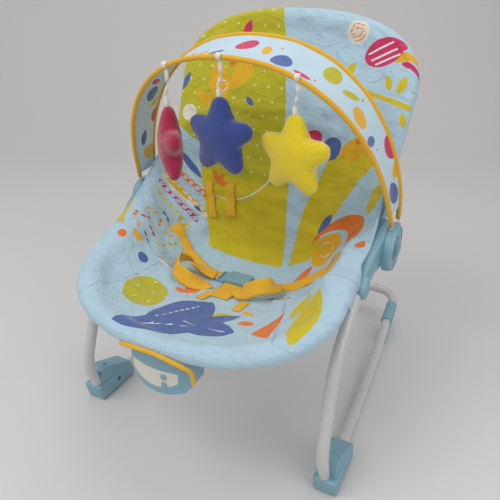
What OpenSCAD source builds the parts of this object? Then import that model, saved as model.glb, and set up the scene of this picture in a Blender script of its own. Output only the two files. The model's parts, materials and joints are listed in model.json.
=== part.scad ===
// Bouncer seat: a rocking tubular base, a fixed seat loop, a reclining back loop, a folding
// canopy with three hanging toys, and a battery vibration unit clamped under the seat's front.
// Millimetres. +Z is up, the sitter faces -Y and left is -X. The origin is on the floor,
// below the hub axis on which the back and the canopy both turn.

/* [Tubes] */
// Outer diameter of every frame tube
tube_d = 19; // [17:0.5:22.8]
// Wall of every frame tube
tube_wall = 1.2; // [1:0.1:2]

/* [Rocking base] */
// Radius to which the rocker rails are bent
rocker_r = 1100; // [900:10:1600]
// Half the rail spacing at the front feet
rail_half_front = 225; // [190:1:275]
// Half the rail spacing at the rear bends
rail_half_rear = 208; // [175:1:255]
// Distance of the crossbar behind the hub axis
crossbar_y = 320; // [275:1:385]
// Bend radius of the rear corners
base_bend_r = 38; // [32:1:50]
// Air under the lowest point of the rails
rocker_gap = 2; // [1:0.5:4]
// Distance of the rails' lowest point in front of the hub axis
rocker_low = 34; // [10:1:60]

/* [Legs and feet] */
// Half the leg spacing at the housings
leg_half_top = 214; // [180:1:260]
// Half the leg spacing at the feet
leg_half_foot = 223; // [187:1:270]
// Length of a foot casing
foot_l = 90; // [75:1:110]
// Width of a foot casing
foot_w = 38; // [34:1:46]
// Height of the collar behind the leg's end
foot_h = 62; // [54:1:75]
// Thickness of the rubber foot pads
pad_t = 4; // [3:0.5:6]

/* [Seat loop] */
// Downward slope of the seat loop towards the front
seat_slope = 12.2; // [5:0.1:20]
// Half the width of the seat loop between tube centres
seat_half = 205.5; // [171:0.5:247]
// Length of the rounded front of the seat loop
seat_round = 156; // [130:1:187]
// Squareness of the seat loop's front, 2 is an ellipse
seat_square = 2.27; // [2:0.01:3]

/* [Back loop] */
// Lean of the back from upright
back_lean = 23; // [15:0.5:35]
// Half the width of the back loop between tube centres
back_half = 205.5; // [171:0.5:247]
// Length of the rounded top of the back loop
back_round = 115.5; // [96:0.5:139]
// Height of the back loop's widest point above the hub, along the back
back_straight = 227; // [189:1:272]
// Squareness of the back loop's top, 2 is an ellipse
back_square = 2.42; // [2:0.01:3]

// Furthest recline from the upright position
recline_max = 22; // [10:1:26]

/* [Hub] */
// Height of the hub axis above the floor
hub_z = 334; // [300:1:400]
// Radius of the canopy's hub disc
hub_disc_r = 38; // [34:1:46]
// Radius of the round recline buttons
recline_button_r = 10; // [8:0.5:12]
// Radial clearance of the parts that turn on one another
running_gap = 0.05; // [0.02:0.01:0.1]

/* [Canopy] */
// Half the span of the front hoop
hoop_half_front = 234; // [225:1:280]
// Half the span of the rear hoop
hoop_half_rear = 237; // [225:1:280]
// Height of the hoops above the hub
hoop_h = 298; // [250:1:357]
// Forward tilt of the front hoop
hoop_tilt_front = 21.2; // [15:0.1:30]
// Forward tilt of the rear hoop
hoop_tilt_rear = 8.9; // [4:0.1:12]
// Squareness of the hoops, 2 is an ellipse
hoop_square = 2.26; // [2:0.01:3]
// Diameter of the hoop rods
rod_d = 4; // [3:0.5:5]
// Diameter over the cloth piping around the rods
piping_d = 7.5; // [7:0.5:9]

/* [Toys] */
// Spacing of the toys along the front hoop, in X
toy_pitch = 104; // [98:1:125]
// Tip radius of the plush stars
star_r = 58; // [48:1:60]
// Thickness of the plush stars
star_t = 34; // [26:1:42]

/* [Vibration unit] */
// Width of the unit
unit_w = 98; // [86:1:118]
// Depth of the unit at its middle
unit_d = 46; // [40:1:56]
// Height of the unit below the tube
unit_h = 62; // [54:1:74]
// Wall of its moulded shells
unit_wall = 2; // [1.6:0.1:3]

/* [Cloth] */
// Thickness of the padded cloth
cloth_t = 7; // [5:0.5:10]
// Air between soft pieces and their neighbours
soft_gap = 0.3; // [0.2:0.05:0.5]
// Width of the harness webbing
strap_w = 25; // [20:1:30]

/* [Hidden] */
$fn = 48;
eps = 0.01;

tube_r = tube_d / 2;
tube_bore_r = tube_r - tube_wall;
seat_fit = 0.05;

// Colours
tube_white = [0.86, 0.85, 0.84];
shell_blue = [0.55, 0.72, 0.78];
rubber_grey = [0.24, 0.26, 0.28];
steel = [0.75, 0.76, 0.78];
cloth_blue = [0.66, 0.80, 0.88];
cloth_lime = [0.78, 0.80, 0.14];
piping_gold = [0.93, 0.70, 0.16];
satin_white = [0.95, 0.95, 0.96];
star_magenta = [0.80, 0.10, 0.36];
star_navy = [0.20, 0.27, 0.60];
star_yellow = [0.95, 0.85, 0.18];
plate_cream = [0.90, 0.88, 0.80];
board_green = [0.10, 0.42, 0.26];
brass = [0.80, 0.66, 0.32];

// ---- vectors, frames and round sweeps -------------------------------------------------

function unit(v) = v / norm(v);
function turn_angle(u, v) = acos(max(-1, min(1, u * v)));
function flip_x(p) = [-p.x, p.y, p.z];
function reversed(list) = [for (i = [len(list) - 1 : -1 : 0]) list[i]];

// Draws its children in the frame whose X and Y run along the given unit vectors.
module in_frame(origin, x_dir, y_dir) {
    z_dir = cross(x_dir, y_dir);
    multmatrix([
        [x_dir.x, y_dir.x, z_dir.x, origin.x],
        [x_dir.y, y_dir.y, z_dir.y, origin.y],
        [x_dir.z, y_dir.z, z_dir.z, origin.z]
    ]) children();
}

// A straight round bar from a to b.
module bar(a, b, r) {
    along = unit(b - a);
    side = abs(along.z) > 0.9 ? [1, 0, 0] : [0, 0, 1];
    x_dir = unit(cross(side, along));
    in_frame(a, x_dir, cross(along, x_dir)) cylinder(h = norm(b - a), r = r);
}

// A round bend: it leaves the start point along the start direction and curls to one side.
module bend(centre, radial, along, bend_r, angle, r) {
    in_frame(centre, radial, along) rotate_extrude(angle = angle, $fn = 96)
        translate([bend_r, 0]) circle(r = r);
}

// Tangent length that a bend of radius r takes on each side of corner i.
function tangent_len(path, radii, i) =
    i == 0 || i == len(path) - 1 ? 0 :
    radii[i - 1] * tan(turn_angle(unit(path[i] - path[i - 1]), unit(path[i + 1] - path[i])) / 2);

// A round bar along a path of corners, each with its own bend radius; over lengthens both ends.
// The straights are a hair thinner than the bends and reach a little way into them.
module tube_run(path, radii, r, over = 0) {
    last = len(path) - 1;
    lap = 0.3;
    hair = 0.15;
    for (i = [0 : last - 1]) {
        along = unit(path[i + 1] - path[i]);
        a = path[i] + along * (i == 0 ? -over : tangent_len(path, radii, i) - lap);
        b = path[i + 1] - along * (i == last - 1 ? -over : tangent_len(path, radii, i + 1) - lap);
        bar(a, b, r - hair);
    }
    for (i = [1 : last - 1]) {
        u = unit(path[i] - path[i - 1]);
        v = unit(path[i + 1] - path[i]);
        inward = unit(v - u * (u * v));
        start = path[i] - u * tangent_len(path, radii, i);
        bend(start + inward * radii[i - 1], -inward, u, radii[i - 1], turn_angle(u, v), r);
    }
}

// Superellipse x/a and y/b to the power n, and its outward normal.
function oval(a, b, n, t) = [a * pow(cos(t), 2 / n), b * pow(sin(t), 2 / n)];
function oval_normal(a, b, n, p) = [pow(p.x / a, n - 1) / a, pow(p.y / b, n - 1) / b];
function lines_meet(n1, p1, n2, p2) =
    let (d = n1.x * n2.y - n1.y * n2.x, c1 = n1 * p1, c2 = n2 * p2)
    [(c1 * n2.y - c2 * n1.y) / d, (n1.x * c2 - n2.x * c1) / d];

// A quarter of a superellipse as the corners between tangents, with the bend radius of each.
oval_steps = [0, 13, 29, 47, 67, 90];
function oval_touch(a, b, n) = [for (t = oval_steps) oval(a, b, n, t)];
function oval_corners(a, b, n) =
    let (p = oval_touch(a, b, n))
    [for (i = [0 : len(p) - 2])
        lines_meet(oval_normal(a, b, n, p[i]), p[i], oval_normal(a, b, n, p[i + 1]), p[i + 1])];
function oval_radii(a, b, n) =
    let (p = oval_touch(a, b, n), k = oval_corners(a, b, n))
    [for (i = [0 : len(k) - 1])
        0.97 * min(norm(k[i] - p[i]), norm(k[i] - p[i + 1]))
            / tan(turn_angle(unit(k[i] - p[i]), unit(p[i + 1] - k[i])) / 2)];

// Right-hand pieces are drawn as they are and left-hand pieces are mirrored.
module on_side(side) {
    mirror([side < 0 ? 1 : 0, 0, 0]) children();
}

// An outline drawn in Y and Z, extruded in X from x0 to x1.
module plate_x(x0, x1) {
    translate([x0, 0, 0]) rotate([90, 0, 90]) linear_extrude(height = x1 - x0) children();
}

module bar_x(x0, x1, y, z, r) {
    translate([x0, y, z]) rotate([0, 90, 0]) cylinder(h = x1 - x0, r = r);
}

// A pan-head screw: the head stands at the origin and the shank runs along -Z.
module screw(shank_l, shank_r, head_r, head_h) {
    difference() {
        union() {
            translate([0, 0, -shank_l]) cylinder(h = shank_l + eps, r = shank_r);
            cylinder(h = head_h, r1 = head_r, r2 = head_r * 0.8);
        }
        for (a = [0, 90]) rotate([0, 0, a]) translate([0, 0, head_h])
            cube([head_r * 1.1, head_r * 0.24, head_h], center = true);
    }
}

// A compression spring wound along +Z, as one closed sweep.
module coil_spring(mean_r, wire_r, length, turns) {
    sides = 6;
    steps = turns * 14;
    rings = [for (i = [0 : steps]) let (
            a = 360 * turns * i / steps,
            z = wire_r + (length - 2 * wire_r) * i / steps)
        for (k = [0 : sides - 1]) let (
            f = 360 * k / sides,
            rr = mean_r + wire_r * cos(f))
            [rr * cos(a), rr * sin(a), z + wire_r * sin(f)]];
    walls = [for (i = [0 : steps - 1], k = [0 : sides - 1]) let (
            a = i * sides + k,
            b = i * sides + (k + 1) % sides)
        each [[a, a + sides, b + sides], [a, b + sides, b]]];
    ends = [[for (k = [0 : sides - 1]) k], [for (k = [sides - 1 : -1 : 0]) steps * sides + k]];
    polyhedron(points = rings, faces = concat(walls, ends), convexity = 6);
}

// ---- rocking base -----------------------------------------------------------------------

rocker_y = -rocker_low;
rocker_z = rocker_gap + tube_r;
rail_front_y = -190;
rail_ref_y = -140;
rail_rear_y = 222;
rail_toe = atan((rail_half_front - rail_half_rear) / (rail_rear_y - rail_ref_y));
rail_dir = [-sin(rail_toe), cos(rail_toe), 0];
function rail_half(y) = rail_half_front - (y - rail_ref_y) * tan(rail_toe);
function rail_angle(y) = asin((y - rocker_y) / (rocker_r * cos(rail_toe)));
function rail_point(y) = [rail_half(y), y, rocker_z + rocker_r * (1 - cos(rail_angle(y)))];
rail_end = rail_point(rail_rear_y);
rail_end_dir = let (a = rail_angle(rail_rear_y)) [rail_dir.x * cos(a), rail_dir.y * cos(a), sin(a)];
base_corner = rail_end + rail_end_dir * ((crossbar_y - rail_end.y) / rail_end_dir.y);

// One rail: an arc of the rocker circle in a plane that toes in towards the rear.
module rail(r, over = 0) {
    a0 = rail_angle(rail_front_y - over);
    a1 = rail_angle(rail_rear_y);
    centre = [rail_half(rocker_y), rocker_y, rocker_z + rocker_r];
    radial = [rail_dir.x * sin(a0), rail_dir.y * sin(a0), -cos(a0)];
    along = [rail_dir.x * cos(a0), rail_dir.y * cos(a0), sin(a0)];
    in_frame(centre, radial, along) rotate_extrude(angle = a1 - a0, $fn = 240)
        translate([rocker_r, 0]) circle(r = r);
}

module base_run(r, over = 0) {
    tube_run(
        [rail_end, base_corner, flip_x(base_corner), flip_x(rail_end)],
        [base_bend_r, base_bend_r], r, 0.3);
    rail(r, over);
    mirror([1, 0, 0]) rail(r, over);
}

module base_tube() {
    color(tube_white) difference() {
        base_run(tube_r);
        base_run(tube_bore_r, 1);
        for (side = [-1, 1]) on_side(side) rail_bolt_hole();
    }
}

// ---- legs -------------------------------------------------------------------------------

leg_top = [leg_half_top, -105, 301];
leg_knee = [leg_half_top, -183, 223];
leg_shin = [leg_half_foot - 2, -226, 89];
leg_end = [leg_half_foot, -207, 35];
leg_path = [leg_top, leg_knee, leg_shin, leg_end];
leg_bends = [120, 95];
leg_end_dir = unit(leg_end - leg_shin);

module leg(side) {
    color(tube_white) on_side(side) difference() {
        tube_run(leg_path, leg_bends, tube_r);
        tube_run(leg_path, leg_bends, tube_bore_r, 1);
        leg_bolt_hole();
    }
}

// ---- feet -------------------------------------------------------------------------------

bolt_r = 2.5;
bolt_head_r = 4.5;
bolt_head_h = 3;
bolt_hole = bolt_r + 0.1;
foot_x = rail_half(-170);
foot_front = -212;
foot_rear = foot_front + foot_l;
foot_rear_h = 36;
foot_lip_h = 34;
foot_edge = 5;
collar_y = -190;
collar_r = 17;
rail_bolt_y = -165;
rail_bolt_z = rail_point(rail_bolt_y).z;
rail_bolt_x = foot_x - foot_w / 2 + 3;
leg_bolt_at = leg_end - leg_end_dir * 13;
leg_bolt_dir = unit(cross([1, 0, 0], leg_end_dir));
leg_bolt_l = 22;

module rail_bolt_hole() {
    bar_x(rail_bolt_x, rail_bolt_x + foot_w - 8, rail_bolt_y, rail_bolt_z, bolt_hole);
}

module leg_bolt_hole() {
    bar(leg_bolt_at, leg_bolt_at + leg_bolt_dir * (leg_bolt_l + 1), bolt_hole);
}

// The casing is one low block with rounded edges, and a round collar behind the leg's end.
module foot_body() {
    inner = foot_x - foot_w / 2 + foot_edge;
    outer = foot_x + foot_w / 2 - foot_edge;
    hull() for (x = [inner, outer]) {
        for (y = [foot_front + foot_edge, foot_rear - foot_edge]) translate([x, y, pad_t])
            cylinder(h = 12, r = foot_edge, $fn = 32);
        translate([x, foot_front + foot_edge - 5, foot_lip_h - foot_edge])
            sphere(r = foot_edge, $fn = 32);
        translate([x, foot_rear - foot_edge - 4, foot_rear_h - foot_edge])
            sphere(r = foot_edge, $fn = 32);
    }
    hull() {
        bar_x(inner, outer, collar_y, foot_h - collar_r, collar_r, $fn = 32);
        for (x = [inner, outer]) translate([x, foot_rear - foot_edge - 4, foot_rear_h - foot_edge])
            sphere(r = foot_edge, $fn = 32);
        translate([inner, collar_y - collar_r + 2, pad_t + 6]) cube([outer - inner, 60, 4]);
    }
}

module foot(side) {
    color(shell_blue) on_side(side) difference() {
        foot_body();
        rail(tube_r + seat_fit, 1);
        bar(leg_end, leg_end - leg_end_dir * 90, tube_r + seat_fit);
        rail_bolt_hole();
        bar_x(rail_bolt_x - 10, rail_bolt_x + bolt_head_h, rail_bolt_y, rail_bolt_z,
            bolt_head_r + 0.2);
        leg_bolt_hole();
        bar(leg_bolt_at + leg_bolt_dir * leg_bolt_l, leg_bolt_at + leg_bolt_dir * 60,
            bolt_head_r + 0.2);
        for (x = [foot_x - 6, foot_x + 6]) translate([x - 3.5, -150, pad_t - eps])
            cube([7, 18, 3]);
    }
}

module foot_pads() {
    pad_r = 6;
    color(rubber_grey) for (side = [-1, 1]) on_side(side)
        for (y = [foot_front + 12, foot_rear - 24]) hull()
            for (x = [foot_x - 10, foot_x + 10], dy = [0, 12]) translate([x, y + dy, 0])
                cylinder(h = pad_t, r = pad_r, $fn = 32);
}

module foot_bolts() {
    color(steel) for (side = [-1, 1]) on_side(side) {
        translate([rail_bolt_x + bolt_head_h, rail_bolt_y, rail_bolt_z]) rotate([0, -90, 0])
            screw(foot_w - 16, bolt_r, bolt_head_r, bolt_head_h - 0.4);
        in_frame(leg_bolt_at + leg_bolt_dir * leg_bolt_l, [1, 0, 0],
            unit(cross(leg_bolt_dir, [1, 0, 0])))
            screw(leg_bolt_l - 4, bolt_r, bolt_head_r, bolt_head_h);
    }
}

// ---- rear stoppers ----------------------------------------------------------------------

stopper_wall = 2.2;
stopper_r = tube_r + running_gap + stopper_wall;
stopper_from = 5;
stopper_l = 55;
stopper_at = rail_end + rail_end_dir * stopper_from;
tongue_w = 15;
tongue_tip_r = 5;

// A sleeve that turns on the rail; its tongue reaches down to the floor and stops the rocking.
module stopper(side) {
    tip = [stopper_at.x, stopper_at.y - 18, tongue_tip_r];
    color(shell_blue) on_side(side) difference() {
        union() {
            bar(stopper_at, stopper_at + rail_end_dir * stopper_l, stopper_r);
            hull() {
                bar_x(tip.x - tongue_w / 2, tip.x + tongue_w / 2, tip.y, tip.z, tongue_tip_r,
                    $fn = 32);
                bar_x(tip.x - tongue_w / 2, tip.x + tongue_w / 2, tip.y + 14, tip.z, tongue_tip_r,
                    $fn = 32);
                bar(stopper_at + rail_end_dir * 1, stopper_at + rail_end_dir * 30, stopper_r - 1,
                    $fn = 32);
            }
        }
        bar(stopper_at - rail_end_dir * 60, stopper_at + rail_end_dir * (stopper_l + 1),
            tube_r + running_gap);
        stopper_icon();
    }
}

// Two shallow arcs moulded into the sleeve's top: the sign for rocking.
module stopper_icon() {
    mark = stopper_at + rail_end_dir * (stopper_l - 16);
    up = unit(cross(rail_end_dir, unit(cross([0, 0, 1], rail_end_dir))));
    in_frame(mark + up * (stopper_r - 0.6), unit(cross([0, 0, 1], rail_end_dir)), -rail_end_dir)
        for (r = [4, 7]) rotate([0, 0, 40]) rotate_extrude(angle = 100)
            translate([r, 0]) square([1.2, 4]);
}

// ---- seat loop and back loop --------------------------------------------------------------

seat_dir = [0, -cos(seat_slope), -sin(seat_slope)];
seat_origin = [0, 116, 361];
seat_root_s = 162;
seat_root_half = 187;
seat_wide_s = 277;
function seat_at(p) = seat_origin + seat_dir * p.y + [p.x, 0, 0];

back_dir = [0, sin(back_lean), cos(back_lean)];
back_normal = [0, -cos(back_lean), sin(back_lean)];
back_origin = [0, 36.4, hub_z];
back_root_s = 10;
back_root_half = 193;
function back_at(p) = back_origin + back_dir * p.y + [p.x, 0, 0];

// The half outline of a loop: from its root, out to the widest point, then round the end.
function loop_corners(root, root_s, half, wide_s, round_l, square_n) = concat(
    [[root, root_s], [half, wide_s - 12]],
    [for (k = oval_corners(half, round_l, square_n)) [k.x, wide_s + k.y]]);
function mirrored_run(half_run) =
    concat(half_run, [for (p = reversed(half_run)) [-p.x, p.y]]);
function loop_radii(half, round_l, square_n) =
    let (r = oval_radii(half, round_l, square_n)) concat([100], r, reversed(r), [100]);

seat_line = mirrored_run(
    loop_corners(seat_root_half, seat_root_s, seat_half, seat_wide_s, seat_round, seat_square));
seat_path = [for (p = seat_line) seat_at(p)];
seat_bends = loop_radii(seat_half, seat_round, seat_square);
back_line = mirrored_run(
    loop_corners(back_root_half, back_root_s, back_half, back_straight, back_round, back_square));
back_path = [for (p = back_line) back_at(p)];
back_bends = loop_radii(back_half, back_round, back_square);

module seat_tube() {
    color(tube_white) difference() {
        tube_run(seat_path, seat_bends, tube_r);
        tube_run(seat_path, seat_bends, tube_bore_r, 1);
    }
}

module back_tube() {
    color(tube_white) difference() {
        tube_run(back_path, back_bends, tube_r);
        tube_run(back_path, back_bends, tube_bore_r, 1);
        for (side = [-1, 1]) on_side(side) arm_bolt_hole();
    }
}

// ---- side housings ------------------------------------------------------------------------

housing_split = 203;
housing_out = 229;
housing_in = 179;
housing_wall = 3;
lobe_in = 211;
lobe_r = 27;
axle_r = 14;
axle_in = 195;
axle_out = 246;
housing_edge = 6;
// Each spot is the Y, Z and radius of one round end of the housing's side outline
housing_spots = [[-97, 306, 16], [-60, 332, 16]];
lobe_spots = [housing_spots[1], [0, hub_z, lobe_r], [2, hub_z + 18, 24]];
hollow_spots = [[-76, 322, 16], [-61, 332, 16]];
seat_pod_spots = [[-99, seat_at([0, 220]).z, 14], [-52, seat_at([0, 171]).z, 15]];

// A pod between x0 and x1 with rounded edges on its x1 side.
module pod(spots, x0, x1, edge, shrink = 0) {
    step = edge * 0.3;
    low = min(x0, x1);
    toward = sign(x1 - x0);
    hull() for (s = spots) {
        bar_x(min(x0, x1 - toward * edge), max(x0, x1 - toward * edge), s.x, s.y, s.z - shrink,
            $fn = 32);
        bar_x(min(x0, x1 - toward * step), max(x0, x1 - toward * step), s.x, s.y,
            s.z - shrink - step, $fn = 32);
        bar_x(min(x0, x1), max(x0, x1), s.x, s.y, s.z - shrink - edge, $fn = 32);
    }
}

module leg_socket() {
    bar(leg_top, leg_top + unit(leg_knee - leg_top) * 60, tube_r + seat_fit);
}

module seat_socket() {
    bar(seat_path[0], seat_path[0] + unit(seat_path[1] - seat_path[0]) * 90, tube_r + seat_fit);
}

// Y and Z of the screws that hold the housing halves together
housing_screw_spots = [[-80, 331], [-58, 338]];
housing_screw_r = 1.6;
housing_screw_head_r = 3.2;

module housing_screw_bosses() {
    for (s = housing_screw_spots)
        bar_x(housing_split, housing_out - housing_wall, s.x, s.y, 4.5);
}

rod_pass_from = hub_disc_r + 8;
rod_pass_to = 95;
rod_pass_gap = 0.8;
function rod_pass_x(r) =
    hoop_half_front * pow(1 - pow(r / hoop_h, hoop_square), 1 / hoop_square)
    - piping_d / 2 - rod_pass_gap;

// The outer face falls away from the hub, so that the hoop clears it when the canopy folds.
module rod_pass() {
    middle = (rod_pass_from + rod_pass_to) / 2;
    translate([0, 0, hub_z]) rotate([0, 90, 0]) rotate_extrude(angle = 360)
        polygon([
            [rod_pass_from, housing_out + 1], [rod_pass_from, rod_pass_x(rod_pass_from)],
            [middle, rod_pass_x(middle)], [rod_pass_to, rod_pass_x(rod_pass_to)],
            [rod_pass_to, housing_out + 1]
        ]);
}

module housing_outer(side) {
    color(shell_blue) on_side(side) difference() {
        union() {
            difference() {
                union() {
                    pod(housing_spots, housing_split, housing_out, housing_edge);
                    pod(lobe_spots, lobe_in, housing_out, 3);
                }
                pod(hollow_spots, housing_split - eps,
                    rod_pass_x(rod_pass_to) - housing_wall, 2, housing_wall);
            }
            housing_screw_bosses();
            bar_x(axle_in, axle_out, 0, hub_z, axle_r);
        }
        rod_pass();
        leg_socket();
        seat_socket();
        bar_x(axle_in - 1, axle_out + 1, 0, hub_z, recline_button_r + running_gap);
        for (s = housing_screw_spots)
            bar_x(housing_split - 1, housing_out - housing_wall - 4, s.x, s.y,
                housing_screw_r - 0.1);
    }
}

module housing_inner(side) {
    plate_t = 3;
    color(shell_blue) on_side(side) difference() {
        union() {
            pod(housing_spots, housing_split, housing_split - plate_t, 1);
            pod(seat_pod_spots, housing_split, housing_in, 5);
        }
        seat_socket();
        leg_socket();
        for (s = housing_screw_spots) {
            bar_x(housing_split - 40, housing_split + 1, s.x, s.y, housing_screw_r + 0.1);
            bar_x(housing_split - 40, housing_split - 1.5, s.x, s.y, housing_screw_head_r + 0.2);
        }
    }
}

module housing_screws() {
    color(steel) for (side = [-1, 1]) on_side(side) for (s = housing_screw_spots)
        translate([housing_split - 1.5, s.x, s.y]) rotate([0, -90, 0])
            screw(14, housing_screw_r - 0.1, housing_screw_head_r, 1.4);
}

// ---- recline arms and buttons --------------------------------------------------------------

arm_in = 196.5;
arm_out = lobe_in - soft_gap;
arm_disc_r = 24;
arm_socket_r = 14;
arm_from_s = 4;
arm_to_s = 66;
arm_bolt_s = 48;

// A point on the back tube's first straight, at a distance along the back.
function back_side(s) = back_path[0]
    + (back_path[1] - back_path[0]) * (s - back_root_s) / (back_line[1].y - back_root_s);

arm_bolt_x = back_side(arm_bolt_s).x - arm_socket_r + 1;

module arm_bolt_hole() {
    at = back_side(arm_bolt_s);
    bar_x(at.x - 20, at.x + 20, at.y, at.z, bolt_hole);
}

// The arm turns on the housing's hollow axle and holds the root of the back tube.
module recline_arm(side) {
    color(shell_blue) on_side(side) difference() {
        union() {
            bar_x(arm_in, arm_out, 0, hub_z, arm_disc_r);
            plate_x(arm_in, arm_out) hull() {
                translate([0, hub_z]) circle(r = arm_disc_r - 2);
                for (s = [arm_from_s + 12, arm_to_s - 16])
                    translate([back_side(s).y, back_side(s).z]) circle(r = arm_socket_r - 2);
            }
            bar(back_side(arm_from_s), back_side(arm_to_s), arm_socket_r);
        }
        bar_x(arm_in - 20, arm_out + 1, 0, hub_z, axle_r + running_gap);
        bar_x(arm_in - 30, arm_in, 0, hub_z, hub_cap_r + 1);
        bar(back_path[0], back_side(arm_to_s + 40), tube_r + seat_fit);
        arm_bolt_hole();
        bar_x(arm_bolt_x - 6, arm_bolt_x, back_side(arm_bolt_s).y, back_side(arm_bolt_s).z,
            bolt_head_r + 0.2);
    }
}

module arm_bolts() {
    at = back_side(arm_bolt_s);
    color(steel) for (side = [-1, 1]) on_side(side)
        translate([arm_bolt_x, at.y, at.z]) rotate([0, -90, 0])
            screw(2 * arm_socket_r - 4, bolt_r, bolt_head_r, bolt_head_h);
}

hub_cap_r = 18;
hub_cap_t = 2.5;
hub_ring_r = 18.5;
hub_ring_t = 1.6;

// Caps close the hollow axles on the inside and keep the arms on.
module hub_caps() {
    color(shell_blue) for (side = [-1, 1]) on_side(side) difference() {
        union() {
            bar_x(axle_in - hub_cap_t, axle_in, 0, hub_z, hub_cap_r);
            bar_x(axle_in - eps, axle_in + 6, 0, hub_z, recline_button_r - 0.1);
        }
        bar_x(axle_in + 1, axle_in + 7, 0, hub_z, recline_button_r - 2.5);
    }
}

// Retaining rings keep the canopy's hubs on the axles.
module hub_rings() {
    color(steel) for (side = [-1, 1]) on_side(side) difference() {
        bar_x(axle_out - 2.4, axle_out - 2.4 + hub_ring_t, 0, hub_z, hub_ring_r);
        bar_x(axle_out - 3, axle_out, 0, hub_z, axle_r);
    }
}

button_travel = 5;
button_l = 30;
button_proud = 2.5;
button_in = axle_out + button_proud - button_l;

module recline_button(side) {
    color(shell_blue) on_side(side) difference() {
        union() {
            bar_x(button_in, axle_out + button_proud - 1.5, 0, hub_z, recline_button_r);
            translate([axle_out + button_proud - 1.5, 0, hub_z]) rotate([0, 90, 0])
                cylinder(h = 1.5, r1 = recline_button_r, r2 = recline_button_r - 1.5);
        }
        bar_x(button_in - 1, axle_out - 1, 0, hub_z, recline_button_r - 2.5);
    }
}

module recline_spring(side) {
    wire = 0.6;
    x0 = axle_in + 1 + soft_gap;
    color(steel) on_side(side) translate([x0, 0, hub_z]) rotate([0, 90, 0])
        coil_spring(5.5, wire, axle_out - 1 - soft_gap - x0, 7);
}

// ---- canopy ---------------------------------------------------------------------------------

hub_at = [0, 0, hub_z];
disc_in = housing_out + soft_gap;
disc_out = axle_out - 2.4 - running_gap * 2;
rod_r = rod_d / 2;
piping_r = piping_d / 2;
rear_hoop_y = 38;
rear_join_h = 52;
socket_floor_r = 19;

function hoop_plane(tilt) = [0, -sin(tilt), cos(tilt)];
function front_at(p) = hub_at + hoop_plane(hoop_tilt_front) * p.y + [p.x, 0, 0];
function rear_at(p) = hub_at + [0, rear_hoop_y, 4] + hoop_plane(hoop_tilt_rear) * p.y + [p.x, 0, 0];

// Both rods leave the hub disc along a radius, from start_r outwards.
rear_join = rear_at([hoop_half_rear, rear_join_h]);
rear_radius = unit([0, rear_join.y, rear_join.z - hub_z]);
function front_half_run(start_r) = concat(
    [front_at([hoop_half_front, start_r])],
    [for (k = oval_corners(hoop_half_front, hoop_h, hoop_square)) front_at(k)]);
function rear_half_run(start_r) = concat(
    [[hoop_half_rear, 0, hub_z] + rear_radius * start_r, rear_join],
    [for (k = oval_corners(hoop_half_rear, hoop_h, hoop_square)) if (k.y > rear_join_h + 2)
        rear_at(k)]);
function whole(half_run) = concat(half_run, [for (p = reversed(half_run)) flip_x(p)]);
// The rods run straight until they are clear of the hub disc.
rod_straight_r = hub_disc_r + 3;
front_radii = let (
        k = oval_corners(hoop_half_front, hoop_h, hoop_square),
        r = oval_radii(hoop_half_front, hoop_h, hoop_square),
        turn = turn_angle([0, 1], unit(k[1] - k[0])))
    [for (i = [0 : len(r) - 1]) i == 0 ? (k[0].y - rod_straight_r) / tan(turn / 2) : r[i]];
rear_radii = let (k = oval_corners(hoop_half_rear, hoop_h, hoop_square))
    [for (i = [0 : len(k) - 1]) if (k[i].y > rear_join_h + 2)
        oval_radii(hoop_half_rear, hoop_h, hoop_square)[i]];

module front_hoop(start_r, r, over = 0) {
    tube_run(whole(front_half_run(start_r)), concat(front_radii, reversed(front_radii)), r, over);
}

module rear_hoop(start_r, r, over = 0) {
    radii = concat([30], rear_radii, reversed(rear_radii), [30]);
    tube_run(whole(rear_half_run(start_r)), radii, r, over);
}

module canopy_hub(side) {
    socket_r = 4.5;
    color(shell_blue) on_side(side) difference() {
        union() {
            translate([disc_in, 0, hub_z]) rotate([0, 90, 0]) rotate_extrude()
                polygon([
                    [axle_r + running_gap, 0], [hub_disc_r, 0], [hub_disc_r, 9],
                    [hub_disc_r - 3, disc_out - disc_in], [axle_r + running_gap, disc_out - disc_in]
                ]);
            bar(front_at([hoop_half_front, hub_disc_r - 8]),
                front_at([hoop_half_front, rod_straight_r - 1]), socket_r);
            bar([hoop_half_rear - 1, 0, hub_z] + rear_radius * (hub_disc_r - 8),
                [hoop_half_rear - 1, 0, hub_z] + rear_radius * (rod_straight_r - 1), socket_r);
        }
        translate([disc_out, 0, hub_z]) rotate([0, 90, 0]) rotate_extrude()
            polygon([[hub_ring_r + 1, -1], [hub_disc_r - 6, -1], [hub_disc_r - 6, 1],
                [hub_ring_r + 1, 1]]);
        bar(front_at([hoop_half_front, socket_floor_r]), front_at([hoop_half_front, 60]),
            rod_r + seat_fit);
        bar([hoop_half_rear, 0, hub_z] + rear_radius * socket_floor_r,
            [hoop_half_rear, 0, hub_z] + rear_radius * 60, rod_r + seat_fit);
    }
}

module canopy_rod_front() {
    color(satin_white) front_hoop(socket_floor_r, rod_r);
}

module canopy_rod_rear() {
    color(satin_white) rear_hoop(socket_floor_r, rod_r);
}

piping_start_r = rod_straight_r + 5;

module canopy_piping_front() {
    color(piping_gold) difference() {
        front_hoop(socket_floor_r, piping_r);
        front_hoop(socket_floor_r, rod_r + seat_fit, 1);
        for (side = [-1, 1]) on_side(side)
            bar_x(hoop_half_front - 10, hoop_half_front + 10, 0, hub_z, piping_start_r);
    }
}

module canopy_piping_rear() {
    color(piping_gold) difference() {
        rear_hoop(piping_start_r, piping_r);
        rear_hoop(piping_start_r, rod_r + seat_fit, 1);
    }
}

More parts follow.
